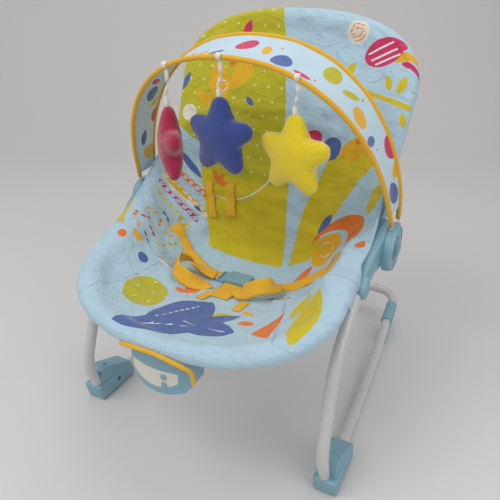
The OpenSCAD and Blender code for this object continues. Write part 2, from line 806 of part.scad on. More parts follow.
// The canopy cloth is a ruled band from hoop to hoop, from one hub over the top to the other.
module canopy_cloth() {
    band_t = 1.6;
    from_t = 8.5;
    steps = 44;
    keep_off = piping_r + soft_gap;
    function arch(half, t) =
        t <= 90 ? oval(half, hoop_h, hoop_square, t)
                : let (p = oval(half, hoop_h, hoop_square, 180 - t)) [-p.x, p.y];
    spots = [for (i = [0 : steps]) let (
            t = from_t + (180 - 2 * from_t) * i / steps,
            f = front_at(arch(hoop_half_front, t)),
            r = rear_at(arch(hoop_half_rear, t)),
            across = unit(r - f),
            up = unit([f.x, 0, f.z - hub_z]),
            lift = unit(up - across * (up * across)) * band_t / 2)
        [f + across * keep_off + lift, r - across * keep_off + lift,
            r - across * keep_off - lift, f + across * keep_off - lift]];
    points = [for (s = spots) each s];
    walls = [for (i = [0 : steps - 1], k = [0 : 3])
        [4 * i + k, 4 * i + (k + 1) % 4, 4 * i + 4 + (k + 1) % 4, 4 * i + 4 + k]];
    color(cloth_blue)
        polyhedron(points, concat(walls, [[3, 2, 1, 0], [for (k = [0 : 3]) 4 * steps + k]]));
}

// ---- hanging toys ----------------------------------------------------------------------------

toy_x = [1 - toy_pitch, -8, toy_pitch];
toy_drop = [115, 110, 103];
toy_turn = [-47, -10, -12];
ribbon_w = 9;
ribbon_t = 1;
ribbon_loop_r = piping_r + 0.9;
star_notch = 0.6;

function hoop_height(x) =
    hoop_h * pow(1 - pow(abs(x) / hoop_half_front, hoop_square), 1 / hoop_square);
function toy_hook(i) = front_at([toy_x[i], hoop_height(toy_x[i])]);
function toy_axis(i) = unit(
    front_at([toy_x[i] + 1, hoop_height(toy_x[i] + 1)])
    - front_at([toy_x[i] - 1, hoop_height(toy_x[i] - 1)]));

// A satin ribbon round the front of the hoop, open towards the cloth behind and a little above,
// with its tails hanging to the star.
ribbon_open = 84;
ribbon_open_at = 101;
module toy_ribbon(i) {
    hook = toy_hook(i);
    axis = toy_axis(i);
    tail = toy_drop[i] - star_r * 0.93;
    half = ribbon_w / 2;
    rise = half * axis.z / axis.x;
    top = ribbon_loop_r + ribbon_t / 2;
    color(satin_white) {
        in_frame(hook, unit(cross([0, 1, 0], axis)), [0, 1, 0]) rotate([0, 0, ribbon_open_at + ribbon_open / 2])
            rotate_extrude(angle = 360 - ribbon_open) translate([ribbon_loop_r, -ribbon_w / 2])
                square([ribbon_t, ribbon_w]);
        translate(hook + [0, ribbon_t / 2, 0]) rotate([90, 0, 0]) linear_extrude(height = ribbon_t)
            polygon([[-half, -tail], [half, -tail], [half, rise - top], [-half, -rise - top]]);
    }
}

star_tip_r = 8;

// Outline of a five-pointed star with rounded tips, as one closed line.
function star_tip(a, r) = [for (b = [-54 : 18 : 54])
    [cos(a) * (r - star_tip_r), sin(a) * (r - star_tip_r)]
        + star_tip_r * [cos(a + b), sin(a + b)]];
function star_line(r) = [for (a = [90 : 72 : 378]) each concat(
    star_tip(a, r), [r * star_notch * [cos(a + 36), sin(a + 36)]])];

// A plush star; the ribbon's tails end in a nick at its top.
module toy_star(i, tint) {
    color(tint) translate(toy_hook(i) - [0, 0, toy_drop[i]]) rotate([0, 0, toy_turn[i]])
        rotate([90, 0, 0]) translate([0, 0, -star_t / 2]) linear_extrude(height = star_t)
            difference() {
                polygon(star_line(star_r));
                translate([-ribbon_w / 2 - 1, star_r * 0.93 - soft_gap]) square([ribbon_w + 2, 20]);
            }
}

// ---- seat and back cloth ------------------------------------------------------------------------

cover_half = 177;
cover_wide_y = -118;
sleeve_r = tube_r + soft_gap + 2.6;
channel_r = tube_r + soft_gap;
slot_half = 58;

// Y and Z of the seat's upper surface, from the front tube down the pan and up the bight
pan_line = [[-306, 272], [-270, 266], [-220, 256], [-165, 246], [-110, 238], [-60, 232],
    [-20, 229], [2, 236], [16, 258], [26, 290], [35, 326]];
function pan_z(y) = lookup(y, pan_line);

function line_normal(list, i) =
    let (a = list[max(0, i - 1)], b = list[min(len(list) - 1, i + 1)], d = unit(b - a))
    [d.y, -d.x];
function thick_line(list, t) = concat(
    list, [for (i = [len(list) - 1 : -1 : 0]) list[i] + line_normal(list, i) * t]);

// The panels of cloth end inside their sleeves, a little inside the tube's centre line.
hem_inset = 4;

module back_plan(narrow_to, root, inset) {
    inside = mirrored_run(loop_corners(back_root_half - inset, narrow_to,
        back_half - inset, back_straight, back_round - inset, back_square));
    polygon(concat([[cover_half, root], [cover_half, narrow_to]], inside,
        [[-cover_half, narrow_to], [-cover_half, root]]));
}

module seat_plan() {
    inside = mirrored_run(loop_corners(cover_half, seat_root_s,
        seat_half - hem_inset, seat_wide_s, seat_round - hem_inset, seat_square));
    front = [for (p = inside) if (seat_at(p).y < cover_wide_y) [p.x, seat_at(p).y]];
    polygon(concat([[cover_half, 60], [cover_half, cover_wide_y]], front,
        [[-cover_half, cover_wide_y], [-cover_half, 60]]));
}

module seat_cover() {
    sleeve_from = (seat_origin.y - cover_wide_y - 2) / cos(seat_slope);
    color(cloth_blue) difference() {
        union() {
            intersection() {
                plate_x(-seat_half, seat_half) polygon(thick_line(pan_line, cloth_t));
                translate([0, 0, 100]) linear_extrude(height = 400) seat_plan();
            }
            difference() {
                tube_run(seat_path, seat_bends, sleeve_r);
                for (side = [-1, 1]) on_side(side)
                    translate([150, cover_wide_y, 200]) cube([100, 200, 200]);
            }
        }
        tube_run(seat_path, seat_bends, channel_r, 1);
        translate([-slot_half, -340, 150]) cube([2 * slot_half, 60, 150 - 32]);
    }
}

wing_t = 8;
wing_half = 176;

// Y and Z of a wing's outline: front corner, top edge and the back's face
wing_line = [[-112, 306], [-70, 345], [-20, 377], [30, 398], [57, 404]];

module wing(side) {
    rear = [for (s = [72, 40, 10]) let (p = back_at([0, s]) + back_normal * (cloth_t / 2 + 2))
        [p.y, p.z]];
    low = [[24, 300], [14, 268], [0, 244], [-20, 236]];
    lip = [for (y = [-60, -110]) [y, pan_z(y) + 1]];
    color(cloth_blue) on_side(side) plate_x(wing_half - wing_t, wing_half)
        polygon(concat(wing_line, rear, low, lip));
}

module back_cover() {
    wide_s = arm_to_s + 3;
    low_s = 27;
    color(cloth_lime) in_frame(back_origin - back_normal * cloth_t / 2, [1, 0, 0], back_dir)
        linear_extrude(height = cloth_t) back_plan(wide_s, low_s, tube_r + 2.5);
}

// ---- harness -------------------------------------------------------------------------------------

strap_t = 1.6;
buckle_w = 42;
buckle_l = 34;
buckle_t = 13;
buckle_y = -66;
buckle_z = pan_z(buckle_y - buckle_l / 2) + soft_gap;
prong_l = 16;
waist_root = [wing_half - wing_t - 3.6, -34, pan_z(-34) + 14];
strap_slant = 3.2;
waist_tip = [buckle_w / 2 + prong_l + 2 * soft_gap + strap_slant, buckle_y,
    buckle_z + buckle_t / 2];

// A flat band from a to b, its width across the given direction.
module band(a, b, width, t, across) {
    along = unit(b - a);
    side_dir = unit(across - along * (along * across));
    in_frame(a, along, side_dir) translate([0, -width / 2, -t / 2])
        cube([norm(b - a), width, t]);
}

module waist_strap(side) {
    color(piping_gold) on_side(side) band(waist_root, waist_tip, strap_w, strap_t, [0, 1, 0]);
}

module crotch_strap() {
    root = [0, -140, pan_z(-140) + soft_gap + strap_t / 2];
    tip = [0, buckle_y - buckle_l / 2 - soft_gap, buckle_z + buckle_t / 2];
    color(piping_gold) band(root, tip, strap_w + 10, strap_t, [1, 0, 0]);
}

module buckle_body() {
    edge = 3;
    color(shell_blue) difference() {
        hull() for (x = [-1, 1], y = [-1, 1]) translate([
                x * (buckle_w / 2 - edge), buckle_y + y * (buckle_l / 2 - edge), buckle_z])
            cylinder(h = buckle_t, r = edge, $fn = 32);
        for (side = [-1, 1]) on_side(side)
            translate([buckle_w / 2 - 13, buckle_y - 11, buckle_z + 3.5]) cube([14, 22, 6]);
    }
}

// Two prongs, each with a slotted end for its waist strap and two springy legs.
module buckle_prongs() {
    z = buckle_z + 4;
    x0 = buckle_w / 2 - 12;
    color(shell_blue) for (side = [-1, 1]) on_side(side) difference() {
        union() {
            for (y = [-9, 6]) translate([x0, buckle_y + y, z]) cube([20, 3, 5]);
            translate([buckle_w / 2 + soft_gap, buckle_y - 16, z]) cube([prong_l, 32, 5]);
        }
        translate([buckle_w / 2 + prong_l - 6, buckle_y - 13, z - 1]) cube([3, 26, 7]);
    }
}

// ---- vibration unit --------------------------------------------------------------------------------

tube_front = seat_at([0, seat_wide_s + seat_round]);
unit_face_y = tube_front.y - 2;
unit_face_r = 120;
unit_drop = 19;
unit_low_z = tube_front.z - unit_h - unit_drop;
unit_top_z = unit_low_z + unit_h;
unit_back_y = unit_face_y + unit_d;
unit_split_y = unit_face_y + 20;
unit_corner_r = 16;

// Plan of the unit: a bowed face between straight sides.
module unit_plan(inset = 0) {
    intersection() {
        translate([0, unit_face_y + unit_face_r]) circle(r = unit_face_r - inset, $fn = 96);
        translate([-unit_w / 2 + inset, unit_face_y + inset])
            square([unit_w - 2 * inset, unit_d - 2 * inset]);
    }
}

// Front view of the unit: a flat top and a bottom that bows down like a smile.
module unit_elevation(inset = 0) {
    bow_r = 105;
    top_r = 3;
    intersection() {
        translate([0, unit_low_z + bow_r]) circle(r = bow_r - inset, $fn = 96);
        hull() for (side = [-1, 1]) {
            translate([side * (unit_w / 2 - unit_corner_r), unit_low_z + unit_corner_r + 6])
                circle(r = unit_corner_r - inset, $fn = 64);
            translate([side * (unit_w / 2 - top_r), unit_top_z - top_r])
                circle(r = top_r - inset, $fn = 24);
            translate([side * (unit_w / 2 - unit_corner_r) - 1, unit_low_z + inset])
                square([2, 2]);
        }
    }
}

module unit_block(inset = 0) {
    intersection() {
        translate([0, 0, unit_low_z - 1]) linear_extrude(height = unit_h + 2) unit_plan(inset);
        translate([0, unit_face_y + unit_d + 1, 0]) rotate([90, 0, 0])
            linear_extrude(height = unit_d + 2) unit_elevation(inset);
    }
}

plate_w = 78;
plate_h = 30;
plate_t = 1.6;
plate_x = -6;
plate_z = unit_low_z + 10;
button_x = 12;
button_z = [plate_z + 20.5, plate_z + 7];
push_r = 4.6;
push_l = 9;
push_face_y = unit_face_y - 1.5;
push_flange_r = 5.8;
front_wall = 6;
board_y = unit_face_y + 13;
board_t = 1.6;
board_w = 56;
boss_r = 3.5;
case_screw_r = 1.4;
// X of the case screws and their height above the unit's bottom
case_screw_spots = [[-40, 48], [40, 48], [-33, 14], [33, 14]];

// The face plate's outline: square at the top and rounded below.
module plate_outline(grow = 0) {
    intersection() {
        translate([plate_x, plate_z + 62]) circle(r = 62 + grow, $fn = 96);
        translate([plate_x - plate_w / 2 - grow, plate_z - grow])
            square([plate_w + 2 * grow, plate_h + 2 * grow]);
    }
}

module plate_prism(y0, y1, grow = 0) {
    translate([0, y1, 0]) rotate([90, 0, 0]) linear_extrude(height = y1 - y0)
        plate_outline(grow);
}

module button_bores(r) {
    for (z = button_z) translate([button_x, board_y, z]) rotate([90, 0, 0])
        cylinder(h = board_y - unit_face_y + 6, r = r);
}

module case_bosses(y0, y1) {
    for (p = case_screw_spots) translate([p.x, y1, unit_low_z + p.y]) rotate([90, 0, 0])
        cylinder(h = y1 - y0, r = boss_r);
}

module case_bores(y0, y1, r) {
    for (p = case_screw_spots) translate([p.x, y1, unit_low_z + p.y]) rotate([90, 0, 0])
        cylinder(h = y1 - y0, r = r);
}

// The face from a little way out down to a depth, inside the plate's outline.
module plate_skin(out, depth, grow) {
    intersection() {
        plate_prism(unit_face_y - 10, unit_split_y, grow);
        translate([0, unit_face_y + unit_face_r, unit_low_z]) difference() {
            cylinder(h = unit_h, r = unit_face_r + out, $fn = 96);
            translate([0, 0, -1]) cylinder(h = unit_h + 2, r = unit_face_r - depth, $fn = 96);
        }
    }
}

module unit_front_shell() {
    color(shell_blue) difference() {
        intersection() {
            union() {
                difference() {
                    unit_block();
                    intersection() {
                        unit_block(unit_wall);
                        translate([-unit_w, unit_face_y + front_wall, unit_low_z])
                            cube([2 * unit_w, unit_d, unit_h]);
                    }
                }
                case_bosses(unit_face_y + front_wall, unit_split_y);
                board_posts();
            }
            translate([-unit_w, unit_face_y - 5, unit_low_z - 5])
                cube([2 * unit_w, unit_split_y - unit_face_y + 5, unit_h + 10]);
        }
        plate_skin(3, plate_t, 0.1);
        button_bores(push_r + running_gap);
        case_bores(unit_face_y + front_wall + 2, unit_split_y + 1, case_screw_r);
    }
}

// The cream plate is set into the shell's bowed face.
module unit_face_plate() {
    color(plate_cream) difference() {
        plate_skin(0, plate_t - 0.05, 0);
        button_bores(push_r + running_gap);
    }
}

module push_button(z) {
    color(shell_blue) translate([button_x, push_face_y, z]) rotate([-90, 0, 0]) union() {
        cylinder(h = 1, r1 = push_r - 1, r2 = push_r);
        translate([0, 0, 1]) cylinder(h = push_l - 1, r = push_r);
        translate([0, 0, front_wall + 1.5 + soft_gap]) cylinder(h = 1.2, r = push_flange_r);
    }
}

// The board sits on two posts of the front shell, with a pin of each through its hole.
board_post_x = 24;
board_post_z = unit_low_z + 39;

module board_posts() {
    for (x = [-board_post_x, board_post_x]) translate([x, unit_face_y + front_wall - 1, board_post_z])
        rotate([-90, 0, 0]) union() {
            cylinder(h = board_y - unit_face_y - front_wall + 1 - seat_fit, r = 3);
            cylinder(h = board_y - unit_face_y - front_wall + 1 + board_t + 1, r = 1.4);
        }
}

// The board carries a small switch behind each button.
module unit_circuit_board() {
    switch_h = 3.9;
    color(board_green) difference() {
        union() {
            translate([-board_w / 2, board_y, unit_low_z + 9]) cube([board_w, board_t, 34]);
            for (z = button_z) translate([button_x - 3, board_y - switch_h, z - 3])
                cube([6, switch_h + eps, 6]);
        }
        for (x = [-board_post_x, board_post_x]) translate([x, board_y - 1, board_post_z])
            rotate([-90, 0, 0]) cylinder(h = 4, r = 1.5);
    }
}

battery_r = 13;
battery_l = 50;
cell_y = unit_face_y + 29.5;
cell_z = unit_low_z + 21;
motor_r = 7;
motor_l = 24;
motor_x = -8;
motor_z = unit_low_z + 48;
shaft_r = 1;
weight_r = 8;
weight_t = 6;
weight_x = motor_x + motor_l + 3;
door_w = 60;
door_h = 30;
door_z = unit_low_z + 8;
saddle_top = tube_front.z - 1.8;

module unit_saddle() {
    difference() {
        translate([0, 0, unit_top_z + soft_gap])
            linear_extrude(height = saddle_top - unit_top_z - soft_gap) unit_plan(2);
        translate([-unit_w, tube_front.y + tube_r + 6, unit_top_z + 4])
            cube([2 * unit_w, unit_d, unit_drop]);
        tube_run(seat_path, seat_bends, tube_r + seat_fit);
        for (x = [-30, 30]) translate([x, tube_front.y + 2, unit_top_z - 1])
            cylinder(h = 20, r = case_screw_r + 0.1);
    }
}

module motor_cradle() {
    for (x = [motor_x + 3, motor_x + motor_l - 6]) difference() {
        translate([x, cell_y - 9, unit_low_z + 37]) cube([2.5, unit_back_y - cell_y + 7, 22]);
        bar_x(x - 1, x + 4, cell_y, motor_z, motor_r + seat_fit);
    }
}

module battery_cradle() {
    for (x = [-18, 15]) difference() {
        translate([x, cell_y - 10, unit_low_z]) cube([2.5, 20, 17]);
        bar_x(x - 1, x + 4, cell_y, cell_z, battery_r + seat_fit);
    }
}

module unit_rear_shell() {
    color(shell_blue) difference() {
        union() {
            intersection() {
                union() {
                    difference() {
                        unit_block();
                        unit_block(unit_wall);
                    }
                    case_bosses(unit_split_y, unit_back_y - 1);
                    intersection() {
                        unit_block(0.5);
                        union() {
                            motor_cradle();
                            battery_cradle();
                        }
                    }
                }
                translate([-unit_w, unit_split_y, unit_low_z - 5])
                    cube([2 * unit_w, unit_d, unit_h + 10]);
            }
            unit_saddle();
            translate([-unit_w / 2 + 2, unit_split_y + 1, unit_top_z - 1])
                cube([unit_w - 4, 10, 3]);
        }
        translate([-door_w / 2 + 3, unit_back_y - unit_wall - 1, door_z + 3])
            cube([door_w - 6, unit_wall + 2, door_h - 6]);
        case_bores(unit_split_y - 1, unit_back_y + 1, case_screw_r + 0.1);
        case_bores(unit_back_y - 6, unit_back_y + 1, 2.9);
        button_bores(push_r + 2);
    }
}

module unit_battery() {
    color(brass) union() {
        bar_x(-battery_l / 2, battery_l / 2 - 1.5, cell_y, cell_z, battery_r);
        bar_x(battery_l / 2 - 1.5 - eps, battery_l / 2, cell_y, cell_z, 4);
    }
}

module unit_contacts() {
    leaf = 0.8;
    color(steel) for (x = [-battery_l / 2 - leaf - 0.1, battery_l / 2 + 0.1])
        translate([x, cell_y - 6, cell_z - 10]) cube([leaf, 12, 20]);
}

module unit_battery_door() {
    color(shell_blue) difference() {
        union() {
            translate([-door_w / 2, unit_back_y, door_z]) cube([door_w, 1.8, door_h]);
            translate([-door_w / 2 + 3.2, unit_back_y - unit_wall, door_z + 3.2])
                cube([door_w - 6.4, unit_wall + eps, door_h - 6.4]);
        }
        for (x = [-12 : 4 : 12]) translate([x - 1, unit_back_y + 1, door_z + 9])
            cube([2, 2, 12]);
    }
}

module unit_motor() {
    color(steel) union() {
        bar_x(motor_x, motor_x + motor_l, cell_y, motor_z, motor_r);
        bar_x(motor_x + motor_l - eps, weight_x + weight_t, cell_y, motor_z, shaft_r);
    }
}

// A half-round weight on the motor's shaft makes the seat tremble.
module unit_motor_weight() {
    color(brass) difference() {
        plate_x(weight_x, weight_x + weight_t - 1) translate([cell_y, motor_z]) union() {
            intersection() {
                circle(r = weight_r);
                translate([-weight_r, -weight_r]) square([2 * weight_r, weight_r]);
            }
            circle(r = 2.6);
        }
        bar_x(weight_x - 1, weight_x + weight_t, cell_y, motor_z, shaft_r + 0.03);
    }
}

module unit_screws() {
    color(steel) for (p = case_screw_spots)
        translate([p.x, unit_back_y - 6, unit_low_z + p.y]) rotate([-90, 0, 0])
            screw(unit_back_y - unit_split_y + 2, case_screw_r - 0.05, 2.6, 1.6);
}

// ---- assembly -----------------------------------------------------------------------------------

base_tube();
leg(-1);  // leg_left
leg(1);  // leg_right
foot(-1);  // foot_left
foot(1);  // foot_right
foot_pads();
foot_bolts();
stopper(-1);  // stopper_left
stopper(1);  // stopper_right
housing_outer(-1);  // housing_outer_left
housing_outer(1);  // housing_outer_right
housing_inner(-1);  // housing_inner_left
housing_inner(1);  // housing_inner_right
housing_screws();
hub_caps();
hub_rings();
seat_tube();
recline_arm(-1);  // recline_arm_left
recline_arm(1);  // recline_arm_right
arm_bolts();
back_tube();
recline_button(-1);  // recline_button_left
recline_button(1);  // recline_button_right
recline_spring(-1);  // recline_spring_left
recline_spring(1);  // recline_spring_right
canopy_hub(-1);  // canopy_hub_left
canopy_hub(1);  // canopy_hub_right
canopy_rod_front();
canopy_rod_rear();
canopy_piping_front();
canopy_piping_rear();
canopy_cloth();
toy_ribbon(0);  // toy_ribbon_left
toy_star(0, star_magenta);  // toy_star_left
toy_ribbon(1);  // toy_ribbon_middle
toy_star(1, star_navy);  // toy_star_middle
toy_ribbon(2);  // toy_ribbon_right
toy_star(2, star_yellow);  // toy_star_right
seat_cover();
wing(-1);  // wing_left
wing(1);  // wing_right
back_cover();
waist_strap(-1);  // waist_strap_left
waist_strap(1);  // waist_strap_right
crotch_strap();
buckle_body();
buckle_prongs();
unit_front_shell();
unit_rear_shell();
unit_face_plate();
push_button(button_z[0]);  // unit_power_button
push_button(button_z[1]);  // unit_mode_button
unit_circuit_board();
unit_battery();
unit_contacts();
unit_battery_door();
unit_motor();
unit_motor_weight();
unit_screws();
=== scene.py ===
"""Bouncer seat: its soft goods, finishes and studio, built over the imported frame.

The frame brings the tubes, the plastic mouldings and the small hardware. This script sews the
seat cover, the panel behind its back and the binding at its front, sews the canopy and its
piping, stuffs the three stars, lays the harness, and gives each piece its finish. Lengths are
metres, +Z is up, the sitter faces -Y and left is -X.
"""
import json
import logging
import math
from dataclasses import dataclass, field
from enum import Enum
from typing import Callable, Sequence

import bmesh
import bpy
import numpy as np
from mathutils import Matrix, Vector, noise
from mathutils.bvhtree import BVHTree


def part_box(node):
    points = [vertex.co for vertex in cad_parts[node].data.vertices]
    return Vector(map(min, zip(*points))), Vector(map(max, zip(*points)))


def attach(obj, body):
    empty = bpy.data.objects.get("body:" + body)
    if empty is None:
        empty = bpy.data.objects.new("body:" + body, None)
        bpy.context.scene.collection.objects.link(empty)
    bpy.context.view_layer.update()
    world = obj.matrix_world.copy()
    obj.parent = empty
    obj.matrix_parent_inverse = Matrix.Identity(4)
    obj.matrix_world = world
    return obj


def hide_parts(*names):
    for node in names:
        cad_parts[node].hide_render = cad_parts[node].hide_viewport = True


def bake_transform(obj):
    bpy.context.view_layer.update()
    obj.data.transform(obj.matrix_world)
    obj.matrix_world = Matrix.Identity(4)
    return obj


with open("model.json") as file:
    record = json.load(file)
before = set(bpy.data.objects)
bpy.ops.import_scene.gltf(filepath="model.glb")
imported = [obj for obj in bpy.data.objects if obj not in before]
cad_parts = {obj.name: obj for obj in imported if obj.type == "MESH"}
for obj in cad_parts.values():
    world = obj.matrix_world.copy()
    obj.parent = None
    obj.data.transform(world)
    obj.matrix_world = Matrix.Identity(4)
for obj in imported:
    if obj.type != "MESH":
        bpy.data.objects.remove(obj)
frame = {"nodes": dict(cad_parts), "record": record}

log = logging.getLogger("bouncer")

Colour = tuple[float, float, float]
Point = tuple[float, float]
# Distance outside a printed shape's edge at a flat place, less than 0 inside the shape
Edge = Callable[[Point], float]
# A row of cloth: its points, and the flat place of each
Row = tuple[list[Vector], list[Point]]


# ---- colour and small geometry helpers -----------------------------------------------------


def linear(colour: Colour) -> tuple[float, float, float, float]:
    """Turn a colour as it is seen into the linear values that shaders take.

    Args:
        colour: red, green and blue, each 0 to 1, as seen on a screen.

    Returns:
        Linear red, green, blue and an alpha of 1.
    """
    red, green, blue = (
        c / 12.92 if c <= 0.04045 else ((c + 0.055) / 1.055) ** 2.4 for c in colour
    )
    return red, green, blue, 1.0


def smoothstep(low: float, high: float, value: float) -> float:
    """Rise smoothly from 0 at low to 1 at high.

    Args:
        low: value at which the result is still 0.
        high: value from which the result is 1; less than low for a result that falls.
        value: the value to look up.

    Returns:
        A number from 0 to 1.
    """
    t = max(0.0, min(1.0, (value - low) / (high - low)))
    return t * t * (3.0 - 2.0 * t)


def mix(a: float, b: float, t: float) -> float:
    """Return the number a share t of the way from a to b."""
    return a + (b - a) * t


def spline(keys: Sequence[Vector], t: float) -> Vector:
    """Look up a smooth curve through evenly numbered keys.

    Args:
        keys: points that the curve passes through.
        t: place along the keys, where 2.5 is halfway from the third to the fourth.

    Returns:
        The point on the curve.
    """
    last = len(keys) - 1
    i = max(0, min(last - 1, int(math.floor(t))))
    f = t - i
    p0, p1, p2, p3 = (keys[max(0, min(last, i + k))] for k in (-1, 0, 1, 2))
    m1, m2 = (p2 - p0) * 0.5, (p3 - p1) * 0.5
    f2, f3 = f * f, f * f * f
    return (
        p1 * (2 * f3 - 3 * f2 + 1)
        + m1 * (f3 - 2 * f2 + f)
        + p2 * (3 * f2 - 2 * f3)
        + m2 * (f3 - f2)
    )


def ripple(at: Vector, scale: float, seed: float = 0.0) -> float:
    """Return smooth noise from about -1 to 1 for a point, at a feature size in metres."""
    return noise.noise(at / scale + Vector((seed, seed * 1.7, seed * 0.3)))


def look_up(keys: Sequence[Point], at: float) -> float:
    """Look up a line of straight pieces, level before its first key and after its last.

    Args:
        keys: places and their values, in rising order of place.
        at: place to look up.

    Returns:
        The value there.
    """
    if at < keys[0][0]:
        return keys[0][1]
    for (a, low), (b, high) in zip(keys, keys[1:]):
        if at <= b:
            return mix(low, high, (at - a) / (b - a))
    return keys[-1][1]


@dataclass(frozen=True)
class Fold:
    """Soft folds in cloth, drawn out along each axis whose stretch is less than 1."""

    size: float
    height: float
    seed: float
    stretch: tuple[float, float, float] = (1.0, 1.0, 1.0)

    def at(self, p: Vector) -> float:
        """Height of the folds at a point."""
        place = Vector([c * share for c, share in zip(p, self.stretch)])
        return ripple(place, self.size, self.seed) * self.height


@dataclass
class Mesh:
    """Collects the grids of one cloth piece and turns them into an object."""

    name: str
    bm: bmesh.types.BMesh = field(default_factory=bmesh.new)

    def grid(self, rows: list[list[Vector]], flats: list[list[Point]]) -> None:
        """Add a sheet of quads with its flat layout as the UV map.

        Args:
            rows: points of the sheet, row by row, each row as long as the next.
            flats: place of each point on the flat cloth, in metres.
        """
        layer = self.bm.loops.layers.uv.verify()
        verts = [[self.bm.verts.new(p) for p in row] for row in rows]
        for i in range(len(rows) - 1):
            for j in range(len(rows[i]) - 1):
                corners = ((i, j), (i, j + 1), (i + 1, j + 1), (i + 1, j))
                face = self.bm.faces.new([verts[a][b] for a, b in corners])
                face.smooth = True
                for loop, (a, b) in zip(face.loops, corners):
                    loop[layer].uv = flats[a][b]

    def finish(self, merge: float = 0.0) -> bpy.types.Object:
        """Make the object, closed first into one skin if a merge distance is given.

        Args:
            merge: distance under which two points become one, or 0 for an open sheet.

        Returns:
            The new object, linked to the scene.
        """
        if merge:
            bmesh.ops.remove_doubles(self.bm, verts=self.bm.verts, dist=merge)
            bmesh.ops.holes_fill(self.bm, edges=self.bm.edges)
            bmesh.ops.recalc_face_normals(self.bm, faces=self.bm.faces)
        data = bpy.data.meshes.new(self.name)
        self.bm.to_mesh(data)
        self.bm.free()
        piece = bpy.data.objects.new(self.name, data)
        bpy.context.scene.collection.objects.link(piece)
        return piece


def sheet(name: str, rows: Sequence[Row]) -> bpy.types.Object:
    """Make an open sheet from its rows.

    Args:
        name: name of the new piece.
        rows: each row's points and their flat places.

    Returns:
        The sheet, without thickness.
    """
    maker = Mesh(name)
    maker.grid([points for points, _ in rows], [places for _, places in rows])
    return maker.finish()


def thicken(piece: bpy.types.Object, thickness: float, offset: float = -1.0) -> None:
    """Give a sheet its thickness.

    Args:
        piece: the sheet.
        thickness: wall in metres.
        offset: -1 puts the wall behind the faces, 1 in front of them.
    """
    wall = piece.modifiers.new("thickness", "SOLIDIFY")
    wall.thickness = thickness
    wall.offset = offset
    wall.use_even_offset = False


def subdivide(piece: bpy.types.Object) -> None:
    """Round a mesh with one level of subdivision."""
    rounder = piece.modifiers.new("rounding", "SUBSURF")
    rounder.levels = rounder.render_levels = 1


def flat_of_points(piece: bpy.types.Object) -> list[Point]:
    """Read back the flat place of each point of a piece from its UV map.

    Args:
        piece: a mesh with a UV map.

    Returns:
        One flat place for each point.
    """
    flats: list[Point] = [(0.0, 0.0)] * len(piece.data.vertices)
    uvs = piece.data.uv_layers[0].data
    for loop in piece.data.loops:
        flats[loop.vertex_index] = tuple(uvs[loop.index].uv)
    return flats


def paint(piece: bpy.types.Object, name: str, values: list[float]) -> None:
    """Store one number for each point of a mesh, for its material to read."""
    layer = piece.data.attributes.new(name, "FLOAT", "POINT")
    layer.data.foreach_set("value", values)


# ---- shader node groups ----------------------------------------------------------------------


class Nodes:
    """A small hand for placing and joining shader nodes in one tree."""

    def __init__(self, tree: bpy.types.NodeTree) -> None:
        """Keep the tree that nodes are added to."""
        self.tree = tree

    def add(self, kind: str, **settings: object) -> bpy.types.Node:
        """Add a node and set its plain properties.

        Args:
            kind: the node's type name.
            **settings: properties by name.

        Returns:
            The node.
        """
        node = self.tree.nodes.new(kind)
        for key, value in settings.items():
            setattr(node, key, value)
        return node

    def feed(self, socket: bpy.types.NodeSocket, source: object) -> None:
        """Join a socket to another socket, or set it to a plain value.

        Args:
            socket: input to feed.
            source: an output socket or a value.
        """
        if isinstance(source, bpy.types.NodeSocket):
            self.tree.links.new(source, socket)
        else:
            socket.default_value = source

    def math(self, operation: str, *inputs: object) -> bpy.types.NodeSocket:
        """Add a Math node and return its result.

        Args:
            operation: the node's operation.
            *inputs: sockets or numbers.

        Returns:
            The output socket.
        """
        node = self.add("ShaderNodeMath", operation=operation)
        for socket, source in zip(node.inputs, inputs):
            self.feed(socket, source)
        return node.outputs[0]

    def blend(self, share: object, a: object, b: object) -> bpy.types.NodeSocket:
        """Mix two colours.

        Args:
            share: how much of b is taken, 0 to 1.
            a: colour at a share of 0.
            b: colour at a share of 1.

        Returns:
            The socket with the colour.
        """
        node = self.add("ShaderNodeMix", data_type="RGBA")
        self.feed(node.inputs["Factor"], share)
        # A Mix node's sockets have the same names for each kind: its colours are these
        self.feed(node.inputs[6], a)
        self.feed(node.inputs[7], b)
        return node.outputs[2]

    def span(self, value: object, low: float, high: float, a: float, b: float) -> object:
        """Map a value to a new range.

        Args:
            value: socket with the value.
            low: value that becomes a.
            high: value that becomes b.
            a: result at low.
            b: result at high.

        Returns:
            The socket with the result.
        """
        node = self.add("ShaderNodeMapRange")
        for socket, source in zip(node.inputs, (value, low, high, a, b)):
            self.feed(socket, source)
        return node.outputs[0]

    def clouds(self, place: object, scale: object, detail: float = 2.0,
               distortion: float = 0.0) -> bpy.types.NodeSocket:
        """Add soft noise from 0 to 1.

        Args:
            place: socket with the coordinates.
            scale: features in each unit of length.
            detail: levels of finer noise.
            distortion: how far the noise is warped.

        Returns:
            The socket with the noise.
        """
        node = self.add("ShaderNodeTexNoise")
        for label, source in (("Vector", place), ("Scale", scale), ("Detail", detail),
                              ("Distortion", distortion)):
            self.feed(node.inputs[label], source)
        return node.outputs[0]


